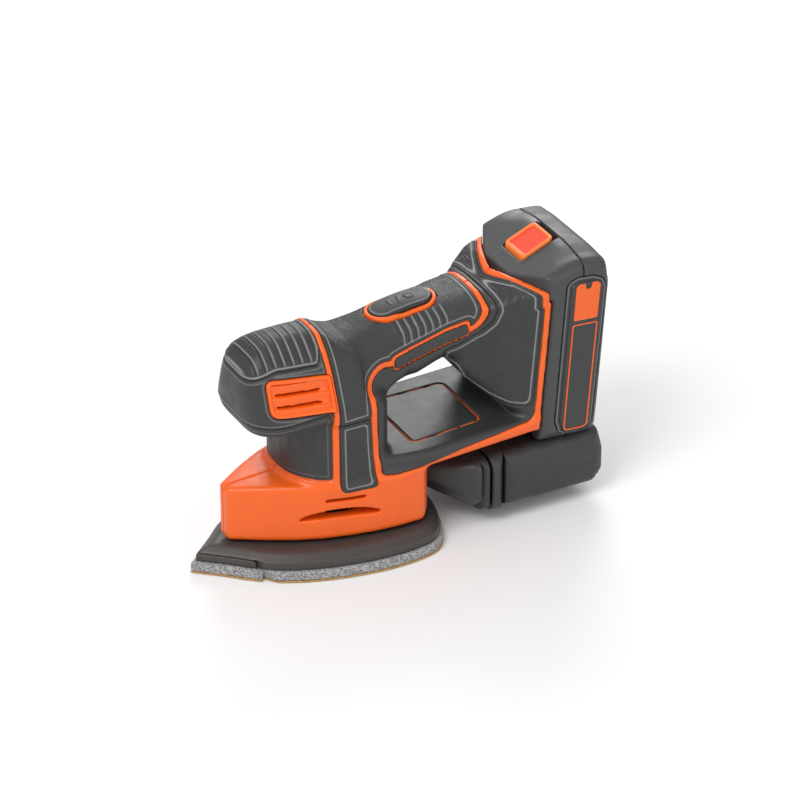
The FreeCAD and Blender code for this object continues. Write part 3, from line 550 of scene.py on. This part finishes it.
def grip_room(x, y, z):
    return np.minimum(mask_grip(x, y, z), mask_column(x, y, z - 0.6))


def mask_deck(x, y, z):
    return prism(poly(x, y, DECK), z - 55, 12)


DECK = fillet([(38.6, -23), (79.6, -21), (79.6, 21), (38.6, 23)], [3, 4, 4, 3])
POCKETS = [mask_vent, head_room, grip_room, mask_switch, mask_plate, cover_room, mask_deck]


def panel(mask, raise_by=RAISE, depth=DEPTH, soft=0.5, under=None):
    """The distance field of what fills one region of the skin. A thin layer of it can run on below
    its neighbours, over the region under."""
    def f(x, y, z):
        b = form(x, y, z)
        d = smax(smax(b - raise_by, mask(x, y, z) + SEAM, soft), -(b + depth - 0.15), 0.2)
        if under is not None:
            layer = np.maximum(b + 0.55, under(x, y, z) + SEAM + 0.1)
            d = np.minimum(d, np.maximum(layer, -(b + depth - 0.15)))
        return d
    return f


def crescent(x, y, z):
    """The low air slot on each side of the skirt."""
    u, v = x + 7, z - 30.5
    bow = np.abs(v + 0.006 * u * u - 0.6) - 2.6 * np.sqrt(np.maximum(1 - (u / 21) ** 2, 0.0))
    return np.maximum(np.maximum(bow, np.abs(u) - 20.5), 18 - np.abs(y))


def slit(x, y, z):
    return on_sides(block(x, 0 * y, z, (-15, -1, 38), (6, 1, 40), 0.8), y, 18)


def louvre(x, y, z):
    """The slots behind the blades of each motor vent."""
    d = 1e3
    for i in range(3):
        low = 93.2 + 5.9 * i
        slot = block(x, 0 * y, z + 0.09 * (x + 30), (-40.5, -1, low), (-15.5, 1, low + 1.35), 0.4)
        d = np.minimum(d, slot)
    return on_sides(d, y, 16)


def hollow(x, y, z):
    """The room inside the housing for motor, fan, battery terminals and the dust duct."""
    r = np.sqrt(x * x + y * y)
    d = prism(r - 20.5, z - 81, 31.5, 1)
    d = np.minimum(d, prism(r - 25.6, z - 40.5, 8.5, 1))
    d = np.minimum(d, prism(r - 24.5, z - 24, 12, 1))
    d = np.minimum(d, block(x, y, z, (-52, -4, 10), (32, 4, 40), 1))
    return d


def housing(side):
    def f(x, y, z):
        b = form(x, y, z)
        d = b
        for mask in POCKETS:
            d = smax(d, np.minimum(-mask(x, y, z) + 0.05, b + DEPTH), 0.25)
        d = np.maximum(d, -np.minimum(crescent(x, y, z), slit(x, y, z)))
        d = np.maximum(d, -louvre(x, y, z))
        d = np.maximum(d, -hollow(x, y, z))
        return smax(d, side * y + 0.06, 0.3)
    return f


HOUSE_STEP = 0.72
for side, word in ((1, "left"), (-1, "right")):
    lo_y, hi_y = (-40, 0.5) if side == 1 else (-0.5, 40)
    piece(f"housing_{word}", housing(side), (-66, lo_y, 14), (116, hi_y, 144), HOUSE_STEP, ORANGE, "tool",
          [f"{word}_housing"])


# ---- surface patterns -----------------------------------------------------------------------------
def diamonds(u, v, pitch):
    """Little square pyramids set on their corners, from 0 in the grooves to 1 on the tips."""
    a, b = (u + v) / pitch, (u - v) / pitch
    return np.minimum(np.abs((a % 1) - 0.5), np.abs((b % 1) - 0.5)) * -2 + 1


def fade(d, near, far):
    return np.clip((d - near) / (far - near), 0, 1)


def textured(mask, pitch, height, border=3.0, inset_line=True, around=None):
    """A smooth border, a fine raised line with a painted highlight along it, and a field of small diamonds inside it.
    """
    def relief(x, y, z, n):
        inside = -mask(x, y, z)
        across = around(x, y, z) if around is not None else (x, z)
        tips = 1 - diamonds(across[0], across[1], pitch)
        outward = np.clip((form(x, y, z) + 0.6) / 0.4, 0, 1)
        field = fade(inside, border + 0.4, border + 0.9)
        ridge = np.exp(-(((inside - border) / 0.3) ** 2)) if inset_line else 0 * x
        groove = np.exp(-(((inside - border + 0.8) / 0.3) ** 2)) if inset_line else 0 * x
        lift = outward * (field * height * (tips - 0.6) + 0.22 * ridge - 0.2 * groove)
        # The edge value is a painted highlight along the fine raised line.
        return lift, {"edge": outward * np.clip(0.85 * ridge, 0, 1)}
    return relief


FINE = 0.42


def over_handle(x, y, z):
    """Coordinates along the handle and around it."""
    return x, 18 * np.arctan2(y, z - 106)


def handle_relief(x, y, z, n):
    lift, values = textured(grip_outline, 1.9, 0.4, 2.8, True, over_handle)(x, y, z, n)
    outward = np.clip((form(x, y, z) + 0.6) / 0.4, 0, 1)
    near = np.clip((np.abs(y) - 9.5) / 1.5, 0, 1) * fade(-grip_outline(x, y, z), 2.6, 3.2)
    side = near * outward
    smooth = side * fade(x + 0.12 * (z - 115), 32.5, 33.2) * (1 - fade(x + 0.12 * (z - 115), 61.5, 62.2))
    lift = lift * (1 - smooth)
    for i in range(7):
        d = x + 0.12 * (z - 118) - (35.1 + 4.28 * i)
        cut = np.exp(-((d / 0.45) ** 2)) * side
        # A painted highlight along the lip just behind each cut, carried in the edge values.
        painted_highlight = np.exp(-(((d - 0.9) / 0.4) ** 2)) * side
        lift = lift - 0.5 * cut
        values["edge"] = np.clip(values["edge"] + 0.6 * painted_highlight, 0, 1)
    return lift, values


def grip_under(x, y, z):
    return np.maximum(mask_column(x, y, z - 0.6), 79 - z)


piece("handle_and_column_grip", panel(mask_grip, under=grip_under), (-10, -32, 78), (88, 32, 136), FINE, GRIP,
      "tool", ["handle_grip"], handle_relief)


def side_box(points, y0, y1, side, z_pad=1.0):
    xs, zs = [p[0] for p in points], [p[1] for p in points]
    ys = (-y1, -y0) if side == 1 else (y0, y1)
    return (min(xs) - 1, ys[0], min(zs) - z_pad), (max(xs) + 1, ys[1], max(zs) + z_pad)


for side, word in ((1, "left"), (-1, "right")):
    lo, hi = side_box(COLUMN_LOW, 12, 38, side)
    piece(f"column_grip_{word}", panel(mask_column), lo, hi, FINE, GRIP, "tool",
          [f"{word}_column_grip"], textured(mask_column, 1.9, 0.4, 2.8))
    lo, hi = side_box(FOOT_PANEL, 0.1, 41, side)
    piece(f"foot_panel_{word}", panel(mask_foot, 0.1), lo, (min(hi[0], 114), hi[1], 141), FINE, GRIP, "tool",
          [f"{word}_foot_panel"], textured(mask_foot, 2.1, 0.45, 2.2))

piece("neck_skin", panel(mask_neck, -0.5, 2.2), (-60, -33, 48), (-10, 33, 94), FINE, GRIP, "tool",
      ["neck_panel"], textured(mask_neck, 1.9, 0.4, 2.6))


def bumper_under(x, y, z):
    return np.maximum(np.maximum(x - RING_X, -poly(x, z, VENT)), np.maximum(100 - z, z - 126))


def cover_under(x, y, z):
    return np.maximum(cover_room(x, y, z), mask_foot(x, y, z) - 2.5)


def bumper_relief(x, y, z, n):
    inside = -mask_bumper(x, y, z)
    ridge = np.exp(-(((inside - 1.4) / 0.3) ** 2)) * np.clip((form(x, y, z) + 0.6) / 0.4, 0, 1)
    # The ridge's edge value is a painted highlight on the fine raised line.
    return 0.1 * ridge, {"edge": 0.35 * ridge}


piece("nose_bumper", panel(mask_bumper, 0.25, under=bumper_under), (-66, -33, 62), (-12, 33, 126),
      0.5, LEATHER, "tool", ["head_bumper"], bumper_relief)


def cap_relief(x, y, z, n):
    """Curved transverse lamellae, each a dark groove with a bright lip. The groove is cut into the surface; the lip is
    partly a small raised step and partly a painted highlight.
    """
    inside = -mask_cap(x, y, z)
    outward = np.clip((form(x, y, z) + 0.6) / 0.4, 0, 1)
    along = x
    phase = ((along + 60) / 4.9) % 1.0
    inner = fade(inside, 2.0, 2.5) * outward
    groove = np.exp(-(((phase - 0.5) / 0.085) ** 2)) * inner
    lip = np.exp(-(((phase - 0.66) / 0.06) ** 2)) * inner
    ridge = np.exp(-(((inside - 1.5) / 0.3) ** 2)) * outward
    # The edge value paints a highlight on each lip and on the rim's ridge.
    return 0.15 * ridge + 0.35 * inner - 1.0 * groove + 0.1 * lip, {"edge": np.clip(0.7 * lip + 0.8 * ridge, 0, 1)}


piece("ribbed_cap", panel(mask_cap, 0.25, 1.9), (-66, -33, 110), (-12, 33, 134), FINE, GRIP, "tool",
      ["top_grip"], cap_relief)


def vent_slats(x, y, z, b):
    """Three broad blades, each proud along its top edge and falling away below."""
    d = 1e3
    for i in range(3):
        low = 94.6 + 5.9 * i
        t = (z + 0.09 * (x + 30) - low) / 4.5
        face = b + 0.2 + 1.3 * (1 - np.clip(t, 0, 1))
        bar = np.abs(t - 0.5) * 4.5 - 2.25
        d = np.minimum(d, smax(face, bar, 0.6))
    return d


def vent_field(x, y, z):
    b = form(x, y, z)
    mask = mask_vent(x, y, z)
    floor_of = smax(b + 2.0, mask + 1.0, 0.4)
    rim = smax(smax(b - 0.5, mask + SEAM, 0.7), -(mask + 2.1), 0.7)
    blades = np.maximum(vent_slats(x, y, z, b), mask + 1.8)
    d = np.minimum(floor_of, smin(rim, blades, 0.3))
    d = np.maximum(d, -(b + 3.2))
    return np.maximum(d, -louvre(x, y, z))


for side, word in ((1, "left"), (-1, "right")):
    lo, hi = side_box(VENT, 13, 34, side)
    piece(f"motor_vent_{word}", vent_field, lo, hi, FINE, ORANGE, "tool", [f"{word}_motor_vent"])
    lo, hi = side_box(PLATE, 8, 21, side)
    piece(f"name_plate_{word}", panel(mask_plate, -0.15), lo, hi, FINE, DARK, "tool",
          ["nameplates"] if side == 1 else ())


piece("handle_underside_and_rail_cover", panel(mask_cover, 0.1, under=cover_under), (11, -39, 48), (114, 39, 141),
      0.55, DARK, "tool", ["rail_cover"])
piece("deck", panel(mask_deck, 0.1), (36, -24, 52), (81, 24, 62), FINE, DARK, "tool", ["deck_plate"])


# ---- switch -----------------------------------------------------------------------------------------
def switch_ring(x, y, z):
    u, w = switch_coords(x, z)
    b = form(x, y, z)
    wall = np.abs(oval(u, y, 18.9, 9.1)) - 1.05
    return smax(smax(wall, b - 1.0, 0.7), -(b + 4), 0.3)


def rocker_field(x, y, z):
    u, w = switch_coords(x, z)
    dome = np.sqrt(u * u * 0.25 + y * y + (w + 26) ** 2) - 27.6
    rest = smax(oval(u, y, 17.6, 7.7), dome, 0.8)
    mark = np.minimum(block(u, y, 0 * w, (-6.6, -2.4, -1), (-5.8, 2.4, 1), 0.3),
                      np.abs(np.sqrt((u - 5.5) ** 2 + y * y) - 2.2) - 0.4)
    slash = block(u - 0.3 * y, y, 0 * w, (-1.2, -3.4, -1), (-0.5, 3.4, 1), 0.3)
    raised = smax(np.minimum(mark, slash), dome - 0.35, 0.2)
    rest = smin(rest, raised, 0.15)
    return smax(rest, -w - 2.6, 0.3)


def rocker_relief(x, y, z, n):
    u, w = switch_coords(x, z)
    inner = -oval(u, y, 17.6, 7.7)
    ridge = np.exp(-(((inner - 1.0) / 0.35) ** 2)) * np.clip((n[:, 2] - 0.2) / 0.3, 0, 1)
    # The edge value is a painted highlight on the rim ridge, stronger where the surface faces upwards.
    return -0.1 * ridge, {"edge": 0.6 * ridge}


piece("switch_ring", switch_ring, (22, -11, 118), (64, 11, 134), FINE, ORANGE, "tool",
      ["switch_frame"])
piece("switch_key", rocker_field, (24, -8.5, 121), (62, 8.5, 135), FINE, GRIP, "rocker",
      ["switch_rocker"], rocker_relief)


# ---- pad ----------------------------------------------------------------------------------------------
SOLE = curve([(-80.6, 0), (-66, -12.8), (-56.7, -21.7), (-46.7, -29.5), (-35.8, -35.4), (-24.2, -39.9), (-12, -43.4),
              (0.8, -45.9), (14, -47.4), (28.5, -47.1), (40.5, -44.6), (47.6, -39), (53.6, -28), (57.6, -14), (58.8, 0)])
SOLE = SOLE + [(x, -y) for x, y in reversed(SOLE[1:-1])]
SPLIT = -56.7
PLATEN_INSET = 2.3
SOLE_LOW, SOLE_HIGH = 0.85, 5.95


def split_line(x, y):
    """How far behind the bowed joint of the detail tip a point lies."""
    return x - SPLIT - 0.012 * y * y


def pad_layer(z0, z1, inset, r, part):
    """One layer of the sole: the main part or the detail tip ahead of the split."""
    def f(x, y, z):
        d = prism(poly(x, y, SOLE) + inset, z - (z0 + z1) / 2, (z1 - z0) / 2, r)
        bow = split_line(x, y)
        if part == "main":
            return smax(d, -(bow - 0.5), r)
        return smax(d, bow + 0.7, r)
    return f


def platen_field(x, y, z):
    s = poly(x, y, SOLE) + PLATEN_INSET
    edge = prism(s, z - 8.3, 2.3, 0.5)
    slope = smax(s * 0.5 + (z - 10.4) * 0.78, z - 14.0, 1.0)
    slope = np.maximum(slope, s + 0.4)
    slope = smax(slope, 6.2 - z, 0.2)
    d = smin(edge, slope, 0.5)
    bow = split_line(x, y)
    tip_room = smax(bow + 0.1, z - 10.7, 0.3)
    return smax(d, -tip_room, 0.3)


def tip_field(x, y, z):
    s = poly(x, y, SOLE) + PLATEN_INSET
    bow = split_line(x, y)
    d = prism(s, z - 8.2, 2.1, 0.7)
    return smax(d, bow + 1.3, 1.4)


PAD_LO, PAD_HI = (-81, -49, 0), (61, 49, 15)
piece("platen_shell", platen_field, PAD_LO, PAD_HI, 0.55, PLATEN, "platen",
      ["platen"])
piece("platen_tip_block", tip_field, (-81, -26, 4), (-52, 26, 12), FINE, PLATEN, "platen",
      ["platen_tip"])
foam = piece("foam_sole", pad_layer(SOLE_LOW, SOLE_HIGH, 0.3, 0.7, "main"), PAD_LO, PAD_HI, 0.55, FOAM,
             "platen", ["foam_pad"])
foam_tip = piece("foam_sole_tip", pad_layer(SOLE_LOW, SOLE_HIGH, 0.3, 0.7, "tip"), (-81, -26, 0), (-52, 26, 7), FINE, FOAM,
                 "platen", ["foam_pad_tip"])
piece("paper_sheet", pad_layer(0.0, 0.8, 0.0, 0.1, "main"), PAD_LO, PAD_HI, 0.4, SHEET, "platen",
      ["sanding_sheet"])
piece("paper_sheet_tip", pad_layer(0.0, 0.8, 0.0, 0.1, "tip"), (-81, -26, 0), (-52, 26, 1.5), 0.4, SHEET, "platen",
      ["sanding_sheet_tip"])


# ---- dust canister -------------------------------------------------------------------------------------
CUP = fillet([(86, 8), (143, 6.6), (149, 14), (149, 27), (145.5, 40.4), (86, 40.4)], [1, 6, 7, 9, 5, 1], 6)


def cup_field(x, y, z):
    outer = prism(poly(x, z, CUP), y, 36, 8)
    inner = prism(poly(x, z, CUP) + 2.0, y, 34, 6)
    return np.maximum(np.maximum(outer, 88.2 - x), -np.maximum(inner, 0))


def cup_relief(x, y, z, n):
    """Knurling: little diamonds over the outside of the cup."""
    outer = prism(poly(x, z, CUP), y, 36, 8)
    out = np.clip((outer + 0.7) / 0.4, 0, 1) * fade(x, 90.3, 90.8)
    side_u = np.where(np.abs(n[:, 1]) > 0.75, z, y)
    side_v = np.where(np.abs(n[:, 0]) > 0.75, z, x)
    tips = 1 - diamonds(side_u, side_v, 1.75)
    # The edge value paints a highlight on the knurl tips, stronger on faces that turn upwards.
    return out * 0.42 * (tips - 0.5), {"edge": out * np.clip((tips - 0.72) * 2.2, 0, 0.5) * fade(n[:, 2], -0.2, 0.5)}


def collar_field(x, y, z):
    """The smooth ring that joins the cup to the duct."""
    outline = fillet([(72, 7.5), (88.4, 6.0), (88.4, 41.2), (72, 40.4)], [2, 1, 1, 2])
    outer = prism(poly(x, z, outline), y, 36.6, 9)
    step = smax(outer + 1.3, x - 78.5, 0.4)
    outer = smin(smax(outer, 79.6 - x, 0.6), step, 0.6)
    inner = prism(poly(x, z, outline) + 2.5, y, 34, 7)
    lip = block(x, y, z, (80, -16, 4.6), (94, 16, 7.6), 0.8)
    return smin(np.maximum(outer, -np.maximum(inner, 74.5 - x)), lip, 0.5)


def duct_field(x, y, z):
    """The faceted duct between skirt and canister."""
    share = np.clip((x - 44) / 32, 0, 1)
    half = 13 + 22 * np.clip((x - 44) / 26, 0, 1) ** 0.8
    low, high = 25 - 16 * share ** 0.9, 36.5 + 3.4 * share
    body = smax(np.abs(y) - half, smax(low - z, z - high, 1.0), 7)
    body = smax(body, 0.62 * (low - z) + 0.6 * (np.abs(y) - half + 7), 1.0)
    body = smax(body, x - 73.8, 0.8)
    return smax(body, 44.5 - x, 0.5)


piece("dust_cup_shell", cup_field, (87, -37, 5), (150, 37, 42), 0.45, KNURL, "cup",
      ["dust_cup"], cup_relief)
piece("collar", collar_field, (71, -38, 3), (95, 38, 43), 0.55, DARK, "canister", ["canister_collar"])
piece("duct", duct_field, (44, -37, 6), (75, 37, 42), 0.55, DARK, "tool", ["dust_adaptor"])


# ---- battery pack -----------------------------------------------------------------------------------------
PACK_SIDE = fillet([(109, 41.5), (143, 41.5), (143.4, 60), (143.6, 132), (140, 147.8), (124, 149.4), (111, 142.8),
                    (95, 134.8), (95, 126), (109, 126)], [3, 6, 4, 12, 7, 12, 12, 1, 1, 1], 6)


PACK_TOP = [(0, 151), (12, 150.6), (18, 149.8), (22, 148.4), (26, 147.2), (31, 146.4), (34.4, 144.8), (36.6, 141.4),
            (37.5, 136), (37.6, 90), (37.6, 30)]
PACK_SECTION = PACK_TOP + [(-y, z) for y, z in reversed(PACK_TOP[1:])]


def pack_form(x, y, z):
    ux, uz = upright(x, z)
    d = prism(poly(ux, uz, PACK_SIDE), y, 37.2, 6)
    d = smax(d, poly(y, uz, PACK_SECTION), 4)
    low_taper = (46 - uz) * 0.55 + (np.abs(y) - 34.5) * 0.83
    return smax(d, low_taper, 2)


def pack_room(x, y, z):
    """The channel down the pack's front, which the tool's rails fill, and the room for the cells."""
    ux, uz = upright(x, z)
    channel = np.maximum(np.maximum(np.abs(y) - 26, ux - 117.5), uz - 128)
    cells = block(ux, y, uz, (119, -34, 45), (143.5, 34, 139), 3)
    return np.minimum(channel, cells)


PAD_SIDE = fillet([(116.4, 54), (119.6, 46.5), (125.3, 43.4), (135, 44.4), (139.6, 50), (141.2, 130), (138.6, 135.8),
                   (132.4, 138.2), (123.0, 138.4), (116.6, 135.8)], [6, 4, 4, 4, 6, 6, 6, 6, 6, 6], 6)


def mask_pad(x, y, z):
    ux, uz = upright(x, z)
    return on_sides(poly(ux, uz, PAD_SIDE), y, 32.5)


def button_mask(x, y, z):
    ux, uz = upright(x, z)
    return prism(prism(np.abs(y) - 10.3, ux - 114.9, 11.2, 2.6), uz - 150, 12)


def seam(x, y, z):
    """The joint between the pack's front shell and rear cover."""
    ux, uz = upright(x, z)
    return ux - 126.5


def pack_front(x, y, z):
    d = pack_form(x, y, z)
    d = smax(d, seam(x, y, z) + 0.25, 0.5)
    d = smax(d, np.minimum(-mask_pad(x, y, z), d + 1.6), 0.3)
    d = smax(d, np.minimum(-button_mask(x, y, z), pack_form(x, y, z) + 7.5), 0.4)
    ahead = np.minimum(0.35 - rear_plane(x, z), under_lip(x, y, z) + 0.35)
    d = smax(d, ahead, 0.4)
    return np.maximum(d, -pack_room(x, y, z))


def pack_rear(x, y, z):
    d = pack_form(x, y, z)
    d = smax(d, -seam(x, y, z) + 0.25, 0.5)
    d = smax(d, np.minimum(-mask_pad(x, y, z), pack_form(x, y, z) + 1.6), 0.3)
    return np.maximum(d, -pack_room(x, y, z))


def pad_field(x, y, z):
    """The raised label pad with its flange."""
    b, m = pack_form(x, y, z), mask_pad(x, y, z)
    flange = smax(smax(b + 0.1, m + 0.3, 0.5), -(b + 1.4), 0.2)
    raised = smax(smax(b - 1.3, m + 2.4, 0.9), -(b + 1.4), 0.2)
    return smin(flange, raised, 0.5)


def pad_relief(x, y, z, n):
    inner = -mask_pad(x, y, z)
    out = np.clip((pack_form(x, y, z) + 0.5) / 0.4, 0, 1)
    ridge = np.exp(-(((inner - 1.0) / 0.35) ** 2)) * out
    groove = np.exp(-(((inner - 4.6) / 0.4) ** 2)) * out
    # The ridge's edge value is a painted highlight; the groove is only geometry.
    return 0.12 * ridge - 0.3 * groove, {"edge": 0.5 * ridge}


PACK_LO, PACK_HI = (95, -38.5, 40), (157, 38.5, 154.5)
PACK_STEP = 0.6
piece("pack_front_shell", pack_front, PACK_LO, PACK_HI, PACK_STEP, PACK, "battery",
      ["battery_front_shell"])
piece("pack_rear_shell", pack_rear, (120, -38.5, 40), PACK_HI, PACK_STEP, PACK, "battery",
      ["battery_rear_cover"])
for side, word in ((1, "left"), (-1, "right")):
    ys = (-40, -26) if side == 1 else (26, 40)
    piece(f"label_pad_{word}", pad_field, (114, ys[0], 42), (152, ys[1], 150), 0.45, LABEL,
          "battery", ["label_pads"] if side == 1 else (), pad_relief)


def label_outline(x, y, z):
    """The thin orange outline strip on the pad and the orange block above it."""
    ux, uz = upright(x, z)
    b = pack_form(x, y, z)
    strip = fillet([(121.6, 48.5), (135.4, 48.5), (136, 111), (121.6, 111)], [3, 3, 1, 1])
    ring = np.abs(poly(ux, uz, strip)) - 0.42
    block_top = fillet([(121.6, 113.6), (136, 113.6), (136.2, 133.4), (134.2, 135.0), (123.4, 135.0), (121.6, 133.4)],
                       [1, 1, 1, 1, 1, 1])
    notch = fillet([(126.6, 138), (131.4, 138), (130.6, 131.6), (127.4, 131.6)], 1.2)
    solid = np.maximum(poly(ux, uz, block_top), -poly(ux, uz, notch))
    flat = np.minimum(ring, solid)
    return on_sides(smax(smax(flat, b - 1.55, 0.2), -(b - 0.6), 0.2), y, 25)


for side, word in ((1, "left"), (-1, "right")):
    ys = (-40, -30) if side == 1 else (30, 40)
    piece(f"label_print_{word}", label_outline, (118, ys[0], 44), (148, ys[1], 146), 0.36, ORANGE,
          "battery")


BUTTON_DISH = 0.4


def button_field(x, y, z):
    ux, uz = upright(x, z)
    b = pack_form(x, y, z)
    outer = prism(np.abs(y) - 10.0, ux - 113.6, 9.0, 2.6)
    dish = prism(np.abs(y) - 8.3, ux - 113.6, 7.3, 2.0)
    top = smax(outer, b - 1.3, 0.7)
    cut = smax(dish, BUTTON_DISH - b, 0.6)
    return smax(smax(top, -cut, 0.5), -(b + 6.5), 0.3)


def button_relief(x, y, z, n):
    ux, uz = upright(x, z)
    dish = prism(np.abs(y) - 8.3, ux - 113.6, 7.3, 2.0)
    # The edge value here marks the sunken dish floor, which is given painted shade.
    return 0 * x, {"edge": np.clip(0.5 - dish, 0, 1) * np.clip((0.9 - pack_form(x, y, z)) * 3, 0, 1)}


# The darker red mixed in on the button is painted shade in its recessed dish.
BUTTON = finish("release_button_moulding", "#F47A2E", 0.42, grain=0.02, grain_size=0.3, mottle=0.04,
                painted_light_colour="#E2401C")
piece("release_key", button_field, (100, -10.5, 134), (132, 10.5, 156), FINE, BUTTON, "button",
      ["release_button"], button_relief)


# ---- floor, light and camera ----------------------------------------------------------------------------
def area_light(name, at, size, power, aim=(30, 0, 60), colour=(1, 1, 1)):
    lamp = bpy.data.lights.new(name, "AREA")
    lamp.shape = "DISK"
    lamp.size = size
    lamp.energy = power
    lamp.color = colour
    obj = bpy.data.objects.new(name, lamp)
    obj.location = [c * MM for c in at]
    to = Vector([a * MM for a in aim]) - Vector(obj.location)
    obj.rotation_euler = to.to_track_quat("-Z", "Y").to_euler()
    bpy.context.scene.collection.objects.link(obj)
    return obj


floor_mesh = bpy.data.meshes.new("floor")
floor_mesh.from_pydata([(-6, -6, 0), (6, -6, 0), (6, 6, 0), (-6, 6, 0)], [], [(0, 1, 2, 3)])
floor = bpy.data.objects.new("floor", floor_mesh)
bpy.context.scene.collection.objects.link(floor)
floor.location.z = -0.0003
floor_mesh.materials.append(finish("pale_floor", [0.86, 0.86, 0.86, 1], 0.7, mottle=0.0, spread=0.02))

world = bpy.data.worlds.new("studio")
world.use_nodes = True
world.node_tree.nodes["Background"].inputs["Color"].default_value = (1, 1, 1, 1)
world.node_tree.nodes["Background"].inputs["Strength"].default_value = 0.62
bpy.context.scene.world = world
area_light("key", (-500, -300, 900), 0.55, 6.0)
area_light("fill", (300, -900, 420), 0.7, 1.6)
area_light("rim", (500, 700, 600), 0.5, 4.0)

scene = bpy.context.scene
scene.view_settings.view_transform = "Standard"
lens = bpy.data.cameras.new("camera")
lens.lens = 189.0
lens.sensor_width = 36.0
lens.clip_end = 100.0
camera = bpy.data.objects.new("camera", lens)
scene.collection.objects.link(camera)
elevation, azimuth = math.radians(31.0), math.radians(28.5)
level = math.cos(elevation)
back = Vector((-math.sin(azimuth) * level, -math.cos(azimuth) * level, math.sin(elevation)))
camera.location = (Vector((40.89, -4.54, 72.0)) + 2187.5 * back) * MM
camera.rotation_euler = back.to_track_quat("Z", "Y").to_euler()
scene.camera = camera
